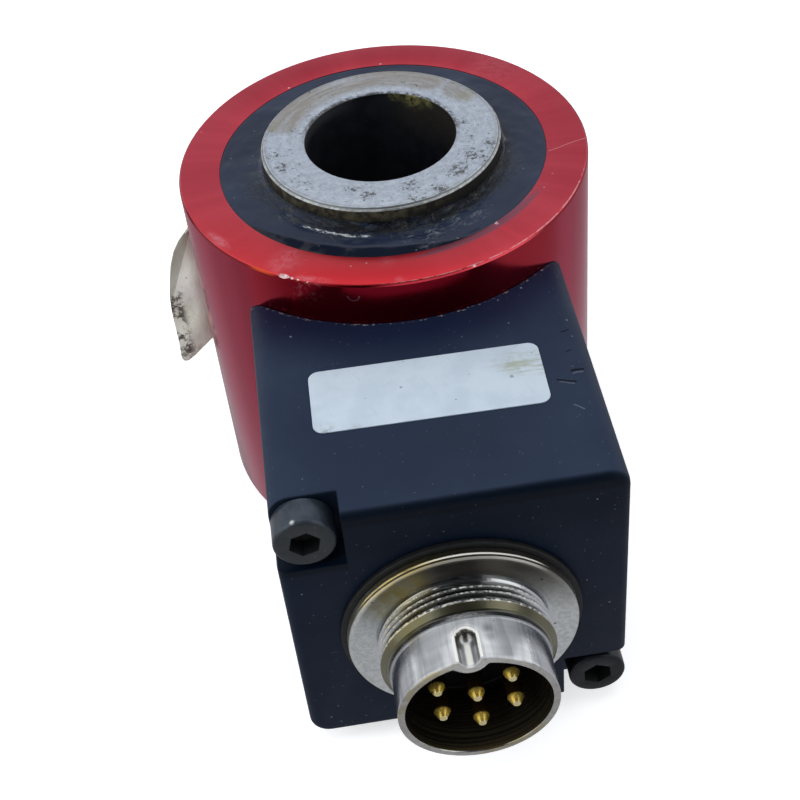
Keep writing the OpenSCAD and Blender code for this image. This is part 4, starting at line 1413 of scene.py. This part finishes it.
# Connector nut
# The hexagon nut that clamps the shell from inside the block, plated like the shell.
nut = hexagon(17, 2.5, 38.05)
nut.name = "connector_nut_hexagon"
corners = turned("corners", [
    (8.4, 36.7), (11, 36.7), (11, 39.4), (8.4, 39.4), (9.0, 39.3), (9.7, 38.9), (9.7, 37.2),
    (9.0, 36.8),
], steps=48)
nut_hole = drill(14.04, 4, (0, 0, 38), sides=96)
nut_plate = nickel("nut_plate")
for solid in (nut, nut_hole, corners):
    solid.data.materials.append(nut_plate)
cut(nut, [nut_hole, corners])
softened(nut, 0.08)
forward(nut, 0, plug_z)
finish_piece(nut, "nickel_plate", "connector_nut")

# Bridge circuit
# Behind the plug: six blue leads from the solder cups to a green circuit board on two
# zinc plated screws, which carries the amplifier chip and four trim resistors.


def solder_mask():
    shader, place = new_finish("solder_mask")
    x, z = split(place)[::2]
    green = mixed(step(cloud(place, 0.4, 3), 0.4, 0.6), (18, 84, 44), (26, 102, 54))
    tracks = step(maths("SINE", (x + z) * 3.1), 0.55, 0.7)
    shader["Base Color"] = mixed(tracks * 0.5, green, (54, 134, 74))
    shader["Roughness"] = scaled(cloud(place, 1.5, 2), 0.15, 0.25)
    bumped(shader, tracks, 0.03)
    return shader.material


def colour_bands(place, tan):
    """The bands of a resistor's code."""
    z = split(place)[2]
    for height, band in ((20.3, (122, 62, 36)), (21.3, (34, 32, 32)),
                         (22.3, (178, 44, 40)), (23.1, (190, 160, 66))):
        tan = mixed(step(abs(z - height), 0.24, 0.18), tan, band)
    return tan


zinc_plate = plain_finish("zinc_plate", (160, 162, 166), (190, 192, 194), (1.2, 4, 0.4, 0.6),
                          (2, 3, 0.2, 0.28), (5, 3, 0.02), 0.9)
lacquer = plain_finish("lacquered_ceramic", (186, 152, 104), (204, 172, 124), (1.5, 3, 0.4, 0.6),
                       (2, 2, 0.15, 0.3), (3, 2, 0.02), marks=colour_bands)
dressed("contact_leads", wire_skin("blue_wire", (30, 58, 138), (44, 76, 160)))
dressed("circuit_board", solder_mask())
dressed("board_screws", zinc_plate)
dressed("amplifier_chip", plain_finish("chip_black", (22, 22, 24), (36, 36, 38)))
dressed("trim_resistors", lacquer)

# Type label
# A laminated paper label stuck on top of the block. It is blank here. A greenish stain has
# crept in at its right end, and dark specks sit in the laminate.
label_middle = (0, -30.5)
label_size = (21.3, 7.95)
label_t = 0.12
label_turn = -1
corner_r = 1


def label_paper():
    shader, place = new_finish("label_paper")
    x = split(place)[0]
    white = mixed(step(cloud(place, 0.3, 3), 0.36, 0.64), (184, 198, 211), (194, 207, 219))
    stain = step(x, 4.2, 8.6) * step(cloud(stretched(place, 0.3, 1.8, 1), 1, 4, 0.7), 0.44, 0.6)
    stain *= smear(place, (9, -29.4), -8, 6.5, 2.4)
    white = mixed(stain * 0.7, white, (150, 158, 132))
    soiled = near_any(place, [(-9.6, -34.2, 1.5, 1), (-7, -34.4, 0.9, 0.7)], 34)
    soiled *= step(cloud(place, 1.8, 4, 0.7), 0.4, 0.56)
    white = mixed(soiled * 0.5, white, (112, 118, 112))
    blot = step(distance_to(place, (8.2, -29.2, 34)), 1.9, 0.3)
    blot *= step(cloud(place, 1.4, 4, 0.7), 0.4, 0.6)
    white = mixed(blot * 0.4, white, (150, 156, 128))
    marks = highest(effect(specks, place, 1.3, 0.04), effect(specks, place, 3, 0.01))
    white = mixed(marks * 0.6, white, (96, 104, 112))
    fine = effect(hairlines, place, 2) * 0.25
    white = mixed(fine, white, (150, 160, 172))
    shader["Base Color"] = white
    shader["Roughness"] = scaled(cloud(place, 0.8, 3), 0.16, 0.3)
    bumped(shader, cloud(place, 1.1, 3), 0.03)
    return shader.material


deselect()
bpy.ops.mesh.primitive_plane_add(size=1)
type_label = bpy.context.object
type_label.name = "blank_label_paper"
type_label.scale = (label_size[0] * mm, label_size[1] * mm, 1)
bpy.ops.object.transform_apply(location=False, rotation=False, scale=True)
bpy.ops.object.mode_set(mode="EDIT")
bpy.ops.mesh.select_all(action="SELECT")
bpy.ops.mesh.bevel(offset=corner_r * mm, segments=8, affect="VERTICES")
bpy.ops.mesh.extrude_region_move(TRANSFORM_OT_translate={"value": (0, 0, label_t * mm)})
bpy.ops.object.mode_set(mode="OBJECT")
faces_out(type_label)
type_label.data.materials.append(label_paper())
softened(type_label, 0.03)
placed(type_label, (*label_middle, block_z + block_half), (0, 0, label_turn))
finish_piece(type_label, "label_white", "blank_label")

# Old label
# An older paper label on the ring's rear left. Most of it still sticks, but its front end
# has peeled off and bent out: limp, creased, torn and stained brown along its loose edge.
stuck_r = 21.02
stuck_from = 130
stuck_to = 165
bend_r = 3
bend_turn = 65
creased_from = 13.4
crease_depth = 0.11
paper_t = 0.14
# Its foot, head and loose end, as lengths along it from the stuck end, and heights
label_foot = [(0, 14.5), (12.8, 14.5), (15.25, 13.8), (16.35, 13.1), (17.45, 12.3), (18.25, 11.9)]
label_head = [(0, 31.5), (12.8, 31.2), (14.1, 30.6), (15.05, 29.8)]
loose_end = [(18.25, 11.9), (18.6, 11.86), (18.88, 12.05), (19.02, 12.4), (19.05, 12.9),
             (18.95, 14.6), (18.9, 16.9), (18.85, 19.3), (18.7, 21.5), (18.25, 23.6), (17.75, 25.7),
             (17.1, 27.6), (16.3, 28.9), (15.7, 29.5), (15.05, 29.8)]


def old_paper():
    shader, place = new_finish("old_paper")
    x, z = split(place)[::2]
    paper = mixed(step(cloud(place, 0.25, 4), 0.36, 0.64), (240, 246, 230), (250, 254, 244))
    yellow = step(cloud(place, 0.16, 3), 0.52, 0.7)
    paper = mixed(yellow * 0.3, paper, (200, 200, 168))
    # The upper corner beyond a slanting line is painted a darker grey green
    upper_corner = step(dot_product(place, (-0.924, 0, 0.38)), 30.93, 31.05) * step(z, 20.5, 22)
    paper = mixed(upper_corner * 0.6, paper, (164, 170, 150))
    # Black and brown blotches run down the loose edge
    loose = x + cloud(place, 0.4, 3) * 1.2
    loose = step(loose, -22.7, -23.7)
    low = between(z, 12, 13.5, 21.5, 23.2)
    blotch = loose * low * step(cloud(place, 0.8, 5, 0.75), 0.47, 0.58)
    paper = mixed(blotch * 0.92, paper, (52, 46, 36))
    foot = step(z, 14.5, 12) * step(cloud(place, 1.6, 4, 0.7), 0.44, 0.58)
    paper = mixed(foot * 0.6, paper, (96, 84, 60))
    dots = effect(specks, place, 1.4, 0.1)
    paper = mixed(dots * 0.35, paper, (130, 126, 104))
    shader["Base Color"] = paper
    shader["Roughness"] = scaled(cloud(place, 0.8, 3), 0.2, 0.5)
    bumped(shader, cloud(place, 1.4, 4, 0.65), 0.1)
    return shader.material


def along_label(travel):
    """Place and outward direction at a length along the label, from its stuck end."""
    stuck_length = math.radians(stuck_to - stuck_from) * stuck_r
    if travel <= stuck_length:
        turn = math.radians(stuck_from) + travel / stuck_r
        return Vector((stuck_r * math.cos(turn), stuck_r * math.sin(turn))), turn
    hinge = math.radians(stuck_to)
    centre = Vector((math.cos(hinge), math.sin(hinge))) * (stuck_r + bend_r)
    bent = min((travel - stuck_length) / bend_r, math.radians(bend_turn))
    turn = hinge + math.pi - bent
    spot = centre + bend_r * Vector((math.cos(turn), math.sin(turn)))
    rest = travel - stuck_length - bent * bend_r
    heading = turn - math.pi / 2
    return spot + max(rest, 0) * Vector((math.cos(heading), math.sin(heading))), turn - math.pi


def on_line(points, share):
    """The point at a share of the length of a line through a few points."""
    legs = [(Vector(b) - Vector(a)).length for a, b in zip(points, points[1:])]
    left = share * sum(legs)
    for (first, last), leg in zip(zip(points, points[1:]), legs):
        if left <= leg:
            return Vector(first).lerp(Vector(last), left / leg)
        left -= leg
    return Vector(points[-1])


deselect()
bpy.ops.mesh.primitive_grid_add(x_subdivisions=120, y_subdivisions=120, size=1)
old_label = bpy.context.object
old_label.name = "peeling_label_paper"
random.seed(11)
creases = [(random.uniform(0, math.tau), random.uniform(0.5, 1.3),
            random.uniform(0, math.tau)) for _ in range(5)]
for vertex in old_label.data.vertices:
    across = vertex.co.x + 0.5
    up = vertex.co.y + 0.5
    straight_end = Vector(loose_end[0]).lerp(Vector(loose_end[-1]), up)
    flat = on_line(label_foot, across).lerp(on_line(label_head, across), up)
    travel, height = flat + across * (on_line(loose_end, up) - straight_end)
    spot, turn = along_label(travel)
    loose = min(max((travel - creased_from) / 3, 0), 1)
    crease = sum(math.sin(height * rate * math.cos(way) + travel * rate * math.sin(way)
                          + start) for way, rate, start in creases)
    spot += Vector((math.cos(turn), math.sin(turn))) * crease_depth * crease * loose
    vertex.co = (spot.x * mm, spot.y * mm, height * mm)
thick = old_label.modifiers.new("paper", "SOLIDIFY")
thick.thickness = paper_t * mm
thick.offset = 1
apply_modifiers(old_label)
faces_out(old_label, 0.01)
old_label.data.materials.append(old_paper())
smoothed(old_label, 50)
finish_piece(old_label, "label_old", "peeling_label")
